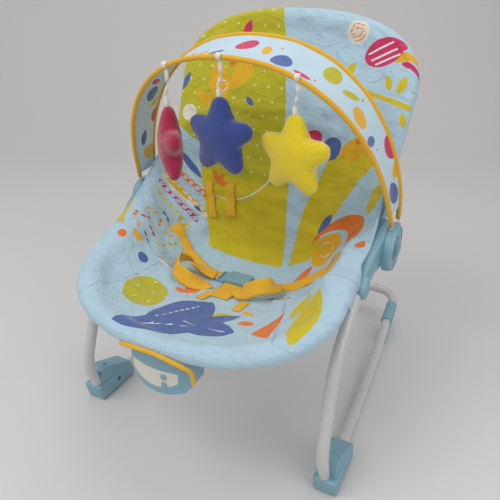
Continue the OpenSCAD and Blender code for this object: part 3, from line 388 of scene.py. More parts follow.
def start_group(name: str, inputs: dict[str, tuple[str, float]], outputs: dict[str, str]) -> Nodes:
    """Start a shader node group with named inputs and outputs.

    Args:
        name: the group's name.
        inputs: for each input its kind, Float, Vector or Color, and its usual value.
        outputs: the kind of each output.

    Returns:
        A hand on the new tree, with its input and output nodes as .given and .result.
    """
    tree = bpy.data.node_groups.new(name, "ShaderNodeTree")
    for label, (kind, value) in inputs.items():
        socket = tree.interface.new_socket(
            name=label, in_out="INPUT", socket_type=f"NodeSocket{kind}")
        if kind == "Float":
            socket.default_value = value
    for label, kind in outputs.items():
        tree.interface.new_socket(name=label, in_out="OUTPUT", socket_type=f"NodeSocket{kind}")
    hand = Nodes(tree)
    hand.given = hand.add("NodeGroupInput").outputs
    hand.result = hand.add("NodeGroupOutput").inputs
    return hand


class Effects:
    """The shader node groups that several finishes share."""

    def __init__(self) -> None:
        """Build each group once."""
        self.mottle = self._mottle()
        self.weave = self._weave()
        self.dots = self._dots()

    @staticmethod
    def _mottle() -> bpy.types.NodeTree:
        """Build the group that varies a colour softly over a surface.

        Returns:
            The group.
        """
        hand = start_group(
            "mottle",
            {"Vector": ("Vector", 0), "Scale": ("Float", 20.0), "Amount": ("Float", 0.06),
             "Color": ("Color", 0)},
            {"Color": "Color", "Value": "Float"})
        clouds = hand.clouds(hand.given["Vector"], hand.given["Scale"], 5.0)
        spread = hand.math("MULTIPLY", hand.math("SUBTRACT", clouds, 0.5), hand.given["Amount"])
        tone = hand.add("ShaderNodeHueSaturation")
        hand.feed(tone.inputs["Value"], hand.math("ADD", hand.math("MULTIPLY", spread, 2.0), 1.0))
        hand.feed(tone.inputs["Color"], hand.given["Color"])
        hand.feed(hand.result["Color"], tone.outputs[0])
        hand.feed(hand.result["Value"], clouds)
        return hand.tree

    @staticmethod
    def _weave() -> bpy.types.NodeTree:
        """Build the group for plain-woven threads: warp and weft that pass over each other.

        Returns:
            The group.
        """
        hand = start_group(
            "weave",
            {"Vector": ("Vector", 0), "Thread": ("Float", 0.0007), "Creases": ("Float", 0.4)},
            {"Height": "Float", "Shade": "Float"})
        axes = hand.add("ShaderNodeSeparateXYZ")
        hand.feed(axes.inputs[0], hand.given["Vector"])
        turns = hand.math("DIVIDE", math.pi, hand.given["Thread"])
        warp = hand.math("SINE", hand.math("MULTIPLY", axes.outputs[0], turns))
        weft = hand.math("SINE", hand.math("MULTIPLY", axes.outputs[1], turns))
        cloth = hand.math("MULTIPLY", warp, weft)
        soft = hand.clouds(hand.given["Vector"], 38.0, 4.0, 0.6)
        crease = hand.math("MULTIPLY", soft, hand.given["Creases"])
        hand.feed(hand.result["Height"],
                  hand.math("ADD", hand.math("MULTIPLY", cloth, 0.05), crease))
        hand.feed(hand.result["Shade"], hand.span(cloth, -1.0, 1.0, 0.94, 1.04))
        return hand.tree

    @staticmethod
    def _dots() -> bpy.types.NodeTree:
        """Build the group for rows of round dots, each row set half a pitch along.

        Returns:
            The group.
        """
        hand = start_group(
            "dots",
            {"Vector": ("Vector", 0), "Pitch": ("Float", 0.026), "Radius": ("Float", 0.0028)},
            {"Mask": "Float"})
        axes = hand.add("ShaderNodeSeparateXYZ")
        hand.feed(axes.inputs[0], hand.given["Vector"])
        across = hand.math("DIVIDE", axes.outputs[0], hand.given["Pitch"])
        along = hand.math("DIVIDE", axes.outputs[1], hand.given["Pitch"])
        row = hand.math("FLOOR", along)
        shift = hand.math("MULTIPLY", hand.math("FLOORED_MODULO", row, 2.0), 0.5)
        u = hand.math("SUBTRACT", hand.math("FRACT", hand.math("ADD", across, shift)), 0.5)
        v = hand.math("SUBTRACT", hand.math("FRACT", along), 0.5)
        far = hand.math("SQRT", hand.math("ADD", hand.math("MULTIPLY", u, u),
                                          hand.math("MULTIPLY", v, v)))
        edge = hand.math("DIVIDE", hand.given["Radius"], hand.given["Pitch"])
        hand.feed(hand.result["Mask"], hand.math("LESS_THAN", far, edge))
        return hand.tree


# ---- finishes --------------------------------------------------------------------------------


def start_material(name: str) -> tuple[bpy.types.Material, Nodes, bpy.types.Node]:
    """Start a material with a Principled shader.

    Args:
        name: the material's name.

    Returns:
        The material, a hand on its nodes, and the shader.
    """
    material = bpy.data.materials.new(name)
    material.use_nodes = True
    hand = Nodes(material.node_tree)
    return material, hand, material.node_tree.nodes["Principled BSDF"]


def place_group(hand: Nodes, tree: bpy.types.NodeTree, **inputs: object) -> bpy.types.Node:
    """Place a node group in a material.

    Args:
        hand: the material's nodes.
        tree: the group.
        **inputs: sockets or values, by the names of the group's inputs.

    Returns:
        The group's node.
    """
    node = hand.add("ShaderNodeGroup", node_tree=tree)
    for label, source in inputs.items():
        hand.feed(node.inputs[label], source)
    return node


def bumped(hand: Nodes, shader: bpy.types.Node, height: object, depth: float,
           strength: float = 1.0) -> None:
    """Give a shader a bump from a height.

    Args:
        hand: the material's nodes.
        shader: the shader to bump.
        height: socket with the height, 0 to 1.
        depth: what a height of 1 stands for, in metres.
        strength: share of the effect.
    """
    bump = hand.add("ShaderNodeBump")
    bump.inputs["Strength"].default_value = strength
    bump.inputs["Distance"].default_value = depth
    hand.feed(bump.inputs["Height"], height)
    hand.feed(shader.inputs["Normal"], bump.outputs[0])


@dataclass(frozen=True)
class SolidFinish:
    """Moulded plastic, lacquered tube, metal or rubber: one colour with a fine surface."""

    name: str
    colour: Colour
    roughness: float
    metallic: float = 0.0
    coat: float = 0.0
    grain: float = 900.0
    grain_depth: float = 0.00004
    grain_share: float = 0.6
    tone_scale: float = 14.0
    tone_change: float = 0.03
    gloss_change: float = 0.15
    coat_roughness: float = 0.12

    def build(self, effects: Effects) -> bpy.types.Material:
        """Make the material.

        Args:
            effects: the shared node groups.

        Returns:
            The material.
        """
        material, hand, shader = start_material(self.name)
        place = hand.add("ShaderNodeTexCoord").outputs["Object"]
        tone = place_group(hand, effects.mottle, Vector=place, Scale=self.tone_scale,
                           Amount=self.tone_change, Color=linear(self.colour))
        hand.feed(shader.inputs["Base Color"], tone.outputs["Color"])
        hand.feed(shader.inputs["Roughness"], hand.span(
            tone.outputs["Value"], 0.3, 0.7, self.roughness * (1.0 - self.gloss_change),
            self.roughness * (1.0 + self.gloss_change)))
        shader.inputs["Metallic"].default_value = self.metallic
        shader.inputs["Coat Weight"].default_value = self.coat
        shader.inputs["Coat Roughness"].default_value = self.coat_roughness
        bumped(hand, shader, hand.clouds(place, self.grain, 3.0), self.grain_depth,
               self.grain_share)
        return material


@dataclass(frozen=True)
class PrintInk:
    """One ink of a printed cloth: the attribute that holds its edge, and its colour."""

    attribute: str
    colour: Colour
    dotted: bool = False


@dataclass(frozen=True)
class ClothFinish:
    """Woven cloth with a flat printed design, seams and soft creases."""

    name: str
    ground: Colour
    inks: tuple[PrintInk, ...] = ()
    roughness: float = 0.82
    sheen: float = 0.25
    sheen_roughness: float = 0.5
    tone_scale: float = 26.0
    tone_change: float = 0.05
    thread: float = 0.0008
    thread_share: float = 0.12
    crease_depth: float = 0.0060
    wrinkle: float = 0.030
    seams: bool = False
    groove: float = 0.0022
    groove_share: float = 0.30
    stitch: float = 0.0010
    stitch_shade: float = 0.90
    dot_colour: Colour = (0.86, 0.85, 0.62)
    dot_pitch: float = 0.026
    dot_radius: float = 0.0023

    def build(self, effects: Effects) -> bpy.types.Material:
        """Make the material.

        Args:
            effects: the shared node groups.

        Returns:
            The material.
        """
        material, hand, shader = start_material(self.name)
        place = hand.add("ShaderNodeTexCoord").outputs["UV"]
        threads = place_group(hand, effects.weave, Vector=place, Thread=self.thread)
        folds = hand.clouds(place, 1.0 / self.wrinkle, 5.0, 1.4)
        height = hand.math(
            "ADD", hand.math("MULTIPLY", threads.outputs["Height"], self.thread_share),
            hand.math("MULTIPLY", folds, 1.0 - self.thread_share))
        value = threads.outputs["Shade"]
        if self.seams:
            edge = hand.add("ShaderNodeAttribute", attribute_name="seam").outputs["Fac"]
            groove = hand.span(edge, 0.0, self.groove, 0.0, self.groove_share)
            height = hand.math("ADD", height, groove)
            stitch = hand.span(edge, 0.0, self.stitch, self.stitch_shade, 1.0)
            value = hand.math("MULTIPLY", value, stitch)
        shade = hand.add("ShaderNodeHueSaturation")
        hand.feed(shade.inputs["Color"], self._printed(hand, place, effects))
        hand.feed(shade.inputs["Value"], value)
        hand.feed(shader.inputs["Base Color"], shade.outputs[0])
        shader.inputs["Roughness"].default_value = self.roughness
        shader.inputs["Sheen Weight"].default_value = self.sheen
        shader.inputs["Sheen Roughness"].default_value = self.sheen_roughness
        bumped(hand, shader, height, self.crease_depth)
        return material

    def _printed(self, hand: Nodes, place: object, effects: Effects) -> bpy.types.NodeSocket:
        """Lay the inks over the ground, one after another, and vary the result softly.

        Args:
            hand: the material's nodes.
            place: socket with the flat coordinates.
            effects: the shared node groups.

        Returns:
            The socket with the colour.
        """
        colour: object = linear(self.ground)
        for ink in self.inks:
            edge = hand.add("ShaderNodeAttribute", attribute_name=ink.attribute).outputs["Fac"]
            fill: object = linear(ink.colour)
            if ink.dotted:
                dots = place_group(hand, effects.dots, Vector=place, Pitch=self.dot_pitch,
                                   Radius=self.dot_radius)
                fill = hand.blend(dots.outputs["Mask"], fill, linear(self.dot_colour))
            colour = hand.blend(hand.math("LESS_THAN", edge, 0.0), colour, fill)
        tone = place_group(hand, effects.mottle, Vector=place, Scale=self.tone_scale,
                           Amount=self.tone_change, Color=colour)
        return tone.outputs["Color"]


class Ink(Enum):
    """The colours that the cloth is printed in."""

    SKY = (0.70, 0.81, 0.87)
    PALE_SKY = (0.76, 0.85, 0.90)
    WHITE = (0.90, 0.90, 0.88)
    LIME = (0.74, 0.71, 0.08)
    CITRUS = (0.82, 0.74, 0.06)
    GOLD = (0.90, 0.68, 0.08)
    NAVY = (0.30, 0.40, 0.64)
    MAGENTA = (0.80, 0.16, 0.38)
    ORANGE = (0.90, 0.46, 0.12)
    CREAM = (0.88, 0.87, 0.80)


@dataclass(frozen=True)
class Finishes:
    """Every material of the seat, by the frame's slot names and by cloth piece."""

    effects: Effects

    def slots(self) -> dict[str, bpy.types.Material]:
        """Make the finish of each slot that the frame's own pieces use.

        Returns:
            A material for each slot name.
        """
        kinds = (
            SolidFinish("tube", (0.80, 0.79, 0.78), 0.26, coat=0.5, grain=1600.0,
                        grain_depth=0.000006),
            SolidFinish("blue_plastic", (0.50, 0.66, 0.72), 0.42, grain=1400.0),
            SolidFinish("rubber", (0.20, 0.21, 0.22), 0.75, grain=1800.0,
                        grain_depth=0.0001),
            SolidFinish("steel", (0.72, 0.72, 0.72), 0.3, metallic=1.0, grain=2200.0),
            SolidFinish("spring_steel", (0.62, 0.63, 0.64), 0.28, metallic=1.0),
            SolidFinish("rod", (0.86, 0.85, 0.83), 0.4),
            SolidFinish("cream_plastic", (0.86, 0.85, 0.79), 0.4, grain=1400.0),
            SolidFinish("board", (0.12, 0.42, 0.26), 0.45, coat=0.3),
            SolidFinish("brass", (0.80, 0.64, 0.30), 0.3, metallic=1.0),
        )
        return {kind.name: kind.build(self.effects) for kind in kinds}

    def cloth(self, name: str, ground: Colour, **settings: object) -> bpy.types.Material:
        """Make a woven finish with its own name and ground colour."""
        return ClothFinish(name, ground, **settings).build(self.effects)

    def trim(self, name: str) -> bpy.types.Material:
        """Make the fine golden cloth that edges are bound in."""
        return self.cloth(name, Ink.GOLD.value, thread_share=0.9, thread=0.0006,
                          crease_depth=0.0004)


# ---- printed design --------------------------------------------------------------------------


def disc(x: float, y: float, r: float) -> Edge:
    """Return the edge distance of a round spot."""
    return lambda p: math.hypot(p[0] - x, p[1] - y) - r


def oval(x: float, y: float, a: float, b: float, turn: float = 0.0) -> Edge:
    """Draw an oval.

    Args:
        x: middle, across the cloth.
        y: middle, along the cloth.
        a: half width along its own first axis.
        b: half width along its second axis.
        turn: turn of the first axis in degrees.

    Returns:
        Its edge distance.
    """
    c, s = math.cos(math.radians(turn)), math.sin(math.radians(turn))

    def edge(p: Point) -> float:
        """Distance outside the oval at p."""
        u, v = p[0] - x, p[1] - y
        return (math.hypot((u * c + v * s) / a, (v * c - u * s) / b) - 1.0) * min(a, b)

    return edge


def leaf(x: float, y: float, length: float, width: float, turn: float) -> Edge:
    """Draw a pointed leaf.

    Args:
        x: middle, across the cloth.
        y: middle, along the cloth.
        length: from tip to tip.
        width: at the middle.
        turn: turn of its long axis in degrees.

    Returns:
        Its edge distance.
    """
    c, s = math.cos(math.radians(turn)), math.sin(math.radians(turn))
    r = (length * length + width * width) / (4.0 * width)

    def edge(p: Point) -> float:
        """Distance outside the leaf at p."""
        u, v = (p[0] - x) * c + (p[1] - y) * s, (p[1] - y) * c - (p[0] - x) * s
        return math.hypot(u, abs(v) + r - width / 2.0) - r

    return edge


def bar(ax: float, ay: float, bx: float, by: float, r: float) -> Edge:
    """Draw a round-ended stroke.

    Args:
        ax: start, across the cloth.
        ay: start, along the cloth.
        bx: end, across the cloth.
        by: end, along the cloth.
        r: half its width.

    Returns:
        Its edge distance.
    """
    dx, dy = bx - ax, by - ay
    length_2 = dx * dx + dy * dy

    def edge(p: Point) -> float:
        """Distance outside the stroke at p."""
        t = max(0.0, min(1.0, ((p[0] - ax) * dx + (p[1] - ay) * dy) / length_2))
        return math.hypot(p[0] - ax - dx * t, p[1] - ay - dy * t) - r

    return edge


def patch(*corners: Point) -> Edge:
    """Draw a patch with straight sides.

    Args:
        *corners: its corners, anticlockwise.

    Returns:
        Its edge distance.
    """

    def edge(p: Point) -> float:
        """Measure how far a place lies outside the patch.

        Args:
            p: the place.

        Returns:
            Distance outside the side that it is furthest from.
        """
        far = -1.0
        for (ax, ay), (bx, by) in zip(corners, corners[1:] + corners[:1]):
            dx, dy = bx - ax, by - ay
            far = max(far, ((p[0] - ax) * dy - (p[1] - ay) * dx) / math.hypot(dx, dy))
        return far

    return edge


def spray(x: float, y: float, size: float, turn: float) -> list[Edge]:
    """Draw three leaves on a short stem.

    Args:
        x: middle, across the cloth.
        y: middle, along the cloth.
        size: length of each leaf.
        turn: direction of the middle leaf in degrees.

    Returns:
        The edge distance of the stem and of each leaf.
    """
    c, s = math.cos(math.radians(turn)), math.sin(math.radians(turn))
    shapes = [bar(x - c * size, y - s * size, x + c * size * 0.3, y + s * size * 0.3, size * 0.05)]
    for spread in (-48.0, 0.0, 48.0):
        a = math.radians(turn + spread)
        shapes.append(leaf(x + math.cos(a) * size * 0.62, y + math.sin(a) * size * 0.62,
                           size, size * 0.42, turn + spread))
    return shapes


@dataclass
class Design:
    """A printed design: for each ink, the shapes that it fills."""

    shapes: dict[Ink, list[Edge]] = field(default_factory=dict)

    def add(self, ink: Ink, *shapes: Edge) -> None:
        """Add shapes to an ink."""
        self.shapes.setdefault(ink, []).extend(shapes)

    def apply(self, piece: bpy.types.Object, flats: list[Point]) -> None:
        """Store each ink's edge distance on a piece.

        Args:
            piece: the printed piece.
            flats: place of each of its points on the flat cloth.
        """
        for ink, shapes in self.shapes.items():
            values = [min(shape(p) for shape in shapes) for p in flats]
            paint(piece, f"print_{ink.name.lower()}", values)

    def inks(self, order: Sequence[Ink], dotted: Sequence[Ink] = ()) -> tuple[PrintInk, ...]:
        """List the inks for a finish, the first one printed first."""
        return tuple(PrintInk(f"print_{ink.name.lower()}", ink.value, ink in dotted)
                     for ink in order if ink in self.shapes)


# Inks of the cover in the order that they are printed
COVER_INKS = (Ink.LIME, Ink.CITRUS, Ink.CREAM, Ink.GOLD, Ink.ORANGE, Ink.NAVY, Ink.MAGENTA,
              Ink.WHITE)


def ring(x: float, y: float, r: float, width: float) -> Edge:
    """Return the edge distance of a ring of the given line width."""
    return lambda p: abs(math.hypot(p[0] - x, p[1] - y) - r) - width / 2


def knot(x: float, y: float, size: float, turn: float) -> list[Edge]:
    """Draw a small two-leaved motif.

    Args:
        x: middle, across the cloth.
        y: middle, along the cloth.
        size: length of each leaf.
        turn: direction from leaf to leaf in degrees.

    Returns:
        The edge distance of each leaf.
    """
    a = math.radians(turn)
    dx, dy = math.cos(a) * size * 0.55, math.sin(a) * size * 0.55
    return [leaf(x + dx, y + dy, size, size * 0.55, turn + 12.0),
            leaf(x - dx, y - dy, size, size * 0.55, turn - 12.0)]


def outside(shape: Edge, hole: Edge) -> Edge:
    """Return the edge distance of a shape with another cut out of it."""
    return lambda p: max(shape(p), -hole(p))


def print_fields(design: Design) -> None:
    """Add the large fields of colour on the back and along the left rim, among them a diagonal
    band that paints a star's cast shadow over the lime print.

    Args:
        design: the cover's design, which gains the shapes.
    """
    rim_x, arc_top = -0.340, 0.190
    design.add(Ink.LIME,
               patch((-0.150, 0.205), (0.021, 0.205), (-0.012, 0.360), (-0.050, 0.560),
                     (-0.300, 0.560), (-0.300, 0.290)),
               patch((-0.140, 0.150), (0.036, 0.150), (0.021, 0.206), (-0.152, 0.206)))
    design.add(Ink.CITRUS,
               patch((-0.100, 0.008), (0.048, 0.008), (0.045, 0.085), (0.036, 0.151),
                     (-0.138, 0.151)),
               # Painted shadow: this diagonal band up the back's right side is lime print with a
               # star's cast shadow painted over it, laid in the citrus ink
               patch((0.060, 0.012), (0.105, 0.026), (0.150, 0.140), (0.190, 0.235),
                     (0.160, 0.262), (0.100, 0.215), (0.070, 0.110)),
               patch((rim_x, -0.200), (-0.211, -0.200), (-0.224, -0.125), (rim_x, -0.125)),
               patch((rim_x, -0.126), (-0.226, -0.126), (-0.274, -0.012), (rim_x, -0.012)))
    arc = ring(-0.095, 0.215, 0.107, 0.0030)
    design.add(Ink.WHITE, lambda p: max(arc(p), p[1] - arc_top))


def print_seat(design: Design) -> None:
    """Add the foliage, the pebbles and the leaves of the seat.

    Args:
        design: the cover's design, which gains the shapes.
    """
    design.add(Ink.LIME, oval(-0.098, -0.202, 0.041, 0.033, 128.0))
    design.add(Ink.CITRUS,
               leaf(0.170, -0.195, 0.116, 0.040, 92.0), leaf(0.146, -0.156, 0.048, 0.019, 74.0),
               leaf(0.038, -0.196, 0.044, 0.020, 20.0))
    design.add(Ink.NAVY,
               leaf(-0.022, -0.268, 0.125, 0.056, 30.0), leaf(-0.024, -0.222, 0.110, 0.052, 62.0),
               leaf(0.030, -0.238, 0.100, 0.046, 6.0), leaf(0.006, -0.208, 0.082, 0.036, 96.0),
               leaf(0.040, -0.206, 0.062, 0.024, 40.0))
    design.add(Ink.WHITE,
               bar(-0.060, -0.286, 0.016, -0.246, 0.0011),
               bar(-0.042, -0.254, -0.006, -0.190, 0.0011),
               bar(0.0, -0.240, 0.066, -0.236, 0.0011),
               bar(-0.034, -0.272, -0.030, -0.256, 0.0009),
               bar(-0.010, -0.260, -0.008, -0.244, 0.0009))
    design.add(Ink.ORANGE,
               *spray(-0.046, -0.166, 0.026, 120.0), oval(0.082, -0.205, 0.012, 0.006, 20.0),
               patch((0.104, -0.232), (0.134, -0.238), (0.124, -0.158)))
    design.add(Ink.GOLD, leaf(0.070, -0.178, 0.030, 0.010, -20.0))
    design.add(Ink.CREAM, bar(0.112, -0.214, 0.128, -0.216, 0.0016))


def print_left_wing(design: Design) -> None:
    """Add the rows of knots, the dots and the ringed bands of the left wing.

    Args:
        design: the cover's design, which gains the shapes.
    """
    knots = ((-0.226, -0.022, Ink.GOLD), (-0.218, -0.055, Ink.MAGENTA), (-0.207, -0.100, Ink.GOLD),
             (-0.188, -0.074, Ink.MAGENTA), (-0.171, -0.035, Ink.GOLD), (-0.158, -0.079, Ink.GOLD),
             (-0.198, -0.030, Ink.ORANGE), (-0.200, -0.002, Ink.NAVY), (-0.176, -0.008, Ink.LIME),
             (-0.150, -0.048, Ink.LIME), (-0.232, -0.070, Ink.ORANGE), (-0.180, -0.102, Ink.NAVY))
    knot_size, knot_turn, turn_step, turns = 0.0125, 20.0, 47.0, 4
    for k, (x, y, ink) in enumerate(knots):
        design.add(ink, *knot(x, y, knot_size, knot_turn + turn_step * (k % turns)))
    dot_r = 0.0075
    for x, y, ink in ((-0.181, -0.138, Ink.ORANGE), (-0.162, -0.122, Ink.GOLD),
                      (-0.144, -0.143, Ink.NAVY)):
        design.add(ink, disc(x, y, dot_r))
    rows = (Ink.ORANGE, Ink.GOLD, Ink.MAGENTA, Ink.CITRUS)
    rings, step_x, step_y, ring_r, line = 7, 0.0128, 0.0040, 0.0062, 0.0032
    last = len(rows) - 1
    for row, ink in enumerate(rows):
        x0, y0 = mix(-0.190, -0.226, row / last), mix(0.122, 0.040, row / last)
        for k in range(rings):
            x, y = x0 + step_x * k, y0 - step_y * k
            design.add(ink, ring(x, y, ring_r, line))
            if row < last:
                design.add(Ink.WHITE, disc(x - 0.006, y - 0.0135, 0.0018))
    design.add(Ink.CREAM, bar(-0.206, 0.088, -0.120, 0.062, 0.0075))
    design.add(Ink.GOLD, leaf(-0.178, 0.080, 0.060, 0.011, -17.0))
    design.add(Ink.NAVY,
               leaf(-0.134, 0.066, 0.018, 0.008, -17.0), leaf(-0.160, 0.146, 0.070, 0.016, -32.0))


def print_right_wing(design: Design) -> None:
    """Add the crescent, the pebbles and the leaves of the right wing.

    Args:
        design: the cover's design, which gains the shapes.
    """
    crescent = outside(oval(0.156, 0.046, 0.062, 0.052, 30.0),
                       oval(0.138, 0.034, 0.050, 0.040, 30.0))
    design.add(Ink.ORANGE,
               crescent, oval(0.262, -0.004, 0.011, 0.008, 80.0),
               leaf(0.104, -0.010, 0.050, 0.018, 60.0))
    design.add(Ink.GOLD,
               oval(0.136, 0.040, 0.034, 0.028, 40.0), oval(0.194, -0.040, 0.046, 0.028, 70.0),
               oval(0.150, -0.060, 0.020, 0.014, 30.0))
    design.add(Ink.NAVY, leaf(0.120, 0.092, 0.040, 0.017, 60.0))
    design.add(Ink.WHITE,
               ring(0.136, 0.040, 0.014, 0.0024), bar(0.170, -0.044, 0.194, -0.026, 0.0012))
    design.add(Ink.CITRUS,
               oval(0.212, 0.118, 0.030, 0.012, 98.0), leaf(0.226, -0.030, 0.050, 0.018, 84.0))


def print_back(design: Design) -> None:
    """Add the leaves, discs and stems of the back.

    Args:
        design: the cover's design, which gains the shapes.
    """
    design.add(Ink.GOLD,
               leaf(-0.136, 0.322, 0.082, 0.040, 104.0), leaf(-0.094, 0.344, 0.072, 0.034, 58.0),
               leaf(-0.160, 0.292, 0.040, 0.018, 160.0), leaf(0.190, 0.392, 0.040, 0.016, 30.0),
               oval(0.140, 0.238, 0.026, 0.018, 30.0))
    design.add(Ink.CREAM, disc(-0.186, 0.262, 0.015), disc(0.106, 0.425, 0.0185))
    design.add(Ink.ORANGE,
               *spray(-0.104, 0.132, 0.024, 60.0), leaf(-0.116, 0.376, 0.048, 0.019, 84.0),
               leaf(0.152, 0.262, 0.044, 0.018, 48.0), leaf(-0.076, 0.404, 0.030, 0.012, 20.0),
               ring(0.106, 0.425, 0.0125, 0.0022), ring(0.106, 0.425, 0.0065, 0.0022))
    design.add(Ink.MAGENTA,
               leaf(-0.098, 0.420, 0.036, 0.014, 70.0), leaf(0.198, 0.378, 0.026, 0.010, -10.0),
               oval(0.059, 0.244, 0.020, 0.015, 40.0), oval(0.154, 0.396, 0.032, 0.022, 24.0),
               oval(-0.150, 0.232, 0.008, 0.013, 20.0))
    design.add(Ink.NAVY,
               oval(0.096, 0.231, 0.023, 0.018, 60.0), leaf(-0.070, 0.296, 0.024, 0.010, 140.0),
               leaf(-0.205, 0.318, 0.040, 0.012, 70.0))
    design.add(Ink.WHITE,
               bar(0.130, 0.392, 0.166, 0.412, 0.0016), bar(0.136, 0.382, 0.174, 0.402, 0.0016),
               bar(0.144, 0.376, 0.180, 0.394, 0.0016), ring(-0.130, 0.318, 0.010, 0.0022))
    design.add(Ink.CITRUS,
               bar(0.128, 0.334, 0.176, 0.322, 0.0036), bar(0.176, 0.322, 0.214, 0.312, 0.0042),
               leaf(0.104, 0.365, 0.028, 0.013, 70.0), leaf(0.194, 0.346, 0.030, 0.014, 74.0),
               leaf(0.172, 0.348, 0.026, 0.012, 110.0), leaf(0.207, 0.292, 0.026, 0.011, -70.0))


def cover_design() -> Design:
    """Lay out the cover's print.

    Returns:
        The colour fields, leaves, discs and rows of small motifs.
    """
    design = Design()
    for stage in (print_fields, print_seat, print_left_wing, print_right_wing, print_back):
        stage(design)
    return design


def cover_seams() -> tuple[Edge, ...]:
    """Draw the three seams that run down the seat, as lines without width."""
    return (bar(-0.158, -0.292, -0.135, -0.179, 0.0), bar(-0.135, -0.179, -0.108, -0.060, 0.0),
            bar(0.094, -0.080, 0.152, -0.262, 0.0))


# ---- seat cover ------------------------------------------------------------------------------


@dataclass
class LoopTube:
    """One of the two tube loops that carry the cover: a straight-sided U in a sloping plane."""

    origin: Vector
    along: Vector
    normal: Vector
    # Half width at the foot of the sides, and how far along the plane that foot is
    root: Point
    half: float
    straight: float
    round_l: float
    # Power of the rounded end, where 2 is an ellipse
    square: float

    def half_width(self, s: float) -> float:
        """Look up how wide the loop is.

        Args:
            s: distance along the loop's plane.

        Returns:
            Half the width between tube centres.
        """
        if s <= self.straight:
            rx, rs = self.root
            return mix(rx, self.half, max(0.0, (s - rs) / (self.straight - rs)))
        t = min(1.0, (s - self.straight) / self.round_l)
        return self.half * max(0.0, 1.0 - t ** self.square) ** (1.0 / self.square)

    def arc(self, share: float) -> Point:
        """Find a place on the rounded end.

        Args:
            share: 0 at the middle of the loop, 1 at its widest point.

        Returns:
            Distance from the middle line, and distance along the plane.
        """
        a = share * math.pi / 2.0
        return (self.half * math.sin(a) ** (2.0 / self.square),
                self.straight + self.round_l * math.cos(a) ** (2.0 / self.square))

    def at(self, x: float, s: float, lift: float = 0.0) -> Vector:
        """Point at x and s in the loop's plane, lifted along its normal."""
        return self.origin + self.along * s + self.normal * lift + Vector((x, 0.0, 0.0))


def seat_loop() -> LoopTube:
    """Place the seat's loop, which slopes down to the front.

    Returns:
        The middle of its tube.
    """
    slope = math.radians(12.2)
    return LoopTube(
        origin=Vector((0.0, 0.116, 0.361)),
        along=Vector((0.0, -math.cos(slope), -math.sin(slope))),
        normal=Vector((0.0, -math.sin(slope), math.cos(slope))),
        root=(0.187, 0.162), half=0.2055, straight=0.277, round_l=0.156, square=2.27)


def back_loop() -> LoopTube:
    """Place the back's loop, which leans back from the hub.

    Returns:
        The middle of its tube.
    """
    lean = math.radians(23.0)
    return LoopTube(
        origin=Vector((0.0, 0.0364, 0.334)),
        along=Vector((0.0, math.sin(lean), math.cos(lean))),
        normal=Vector((0.0, -math.cos(lean), math.sin(lean))),
        root=(0.193, 0.010), half=0.2055, straight=0.227, round_l=0.1155, square=2.42)


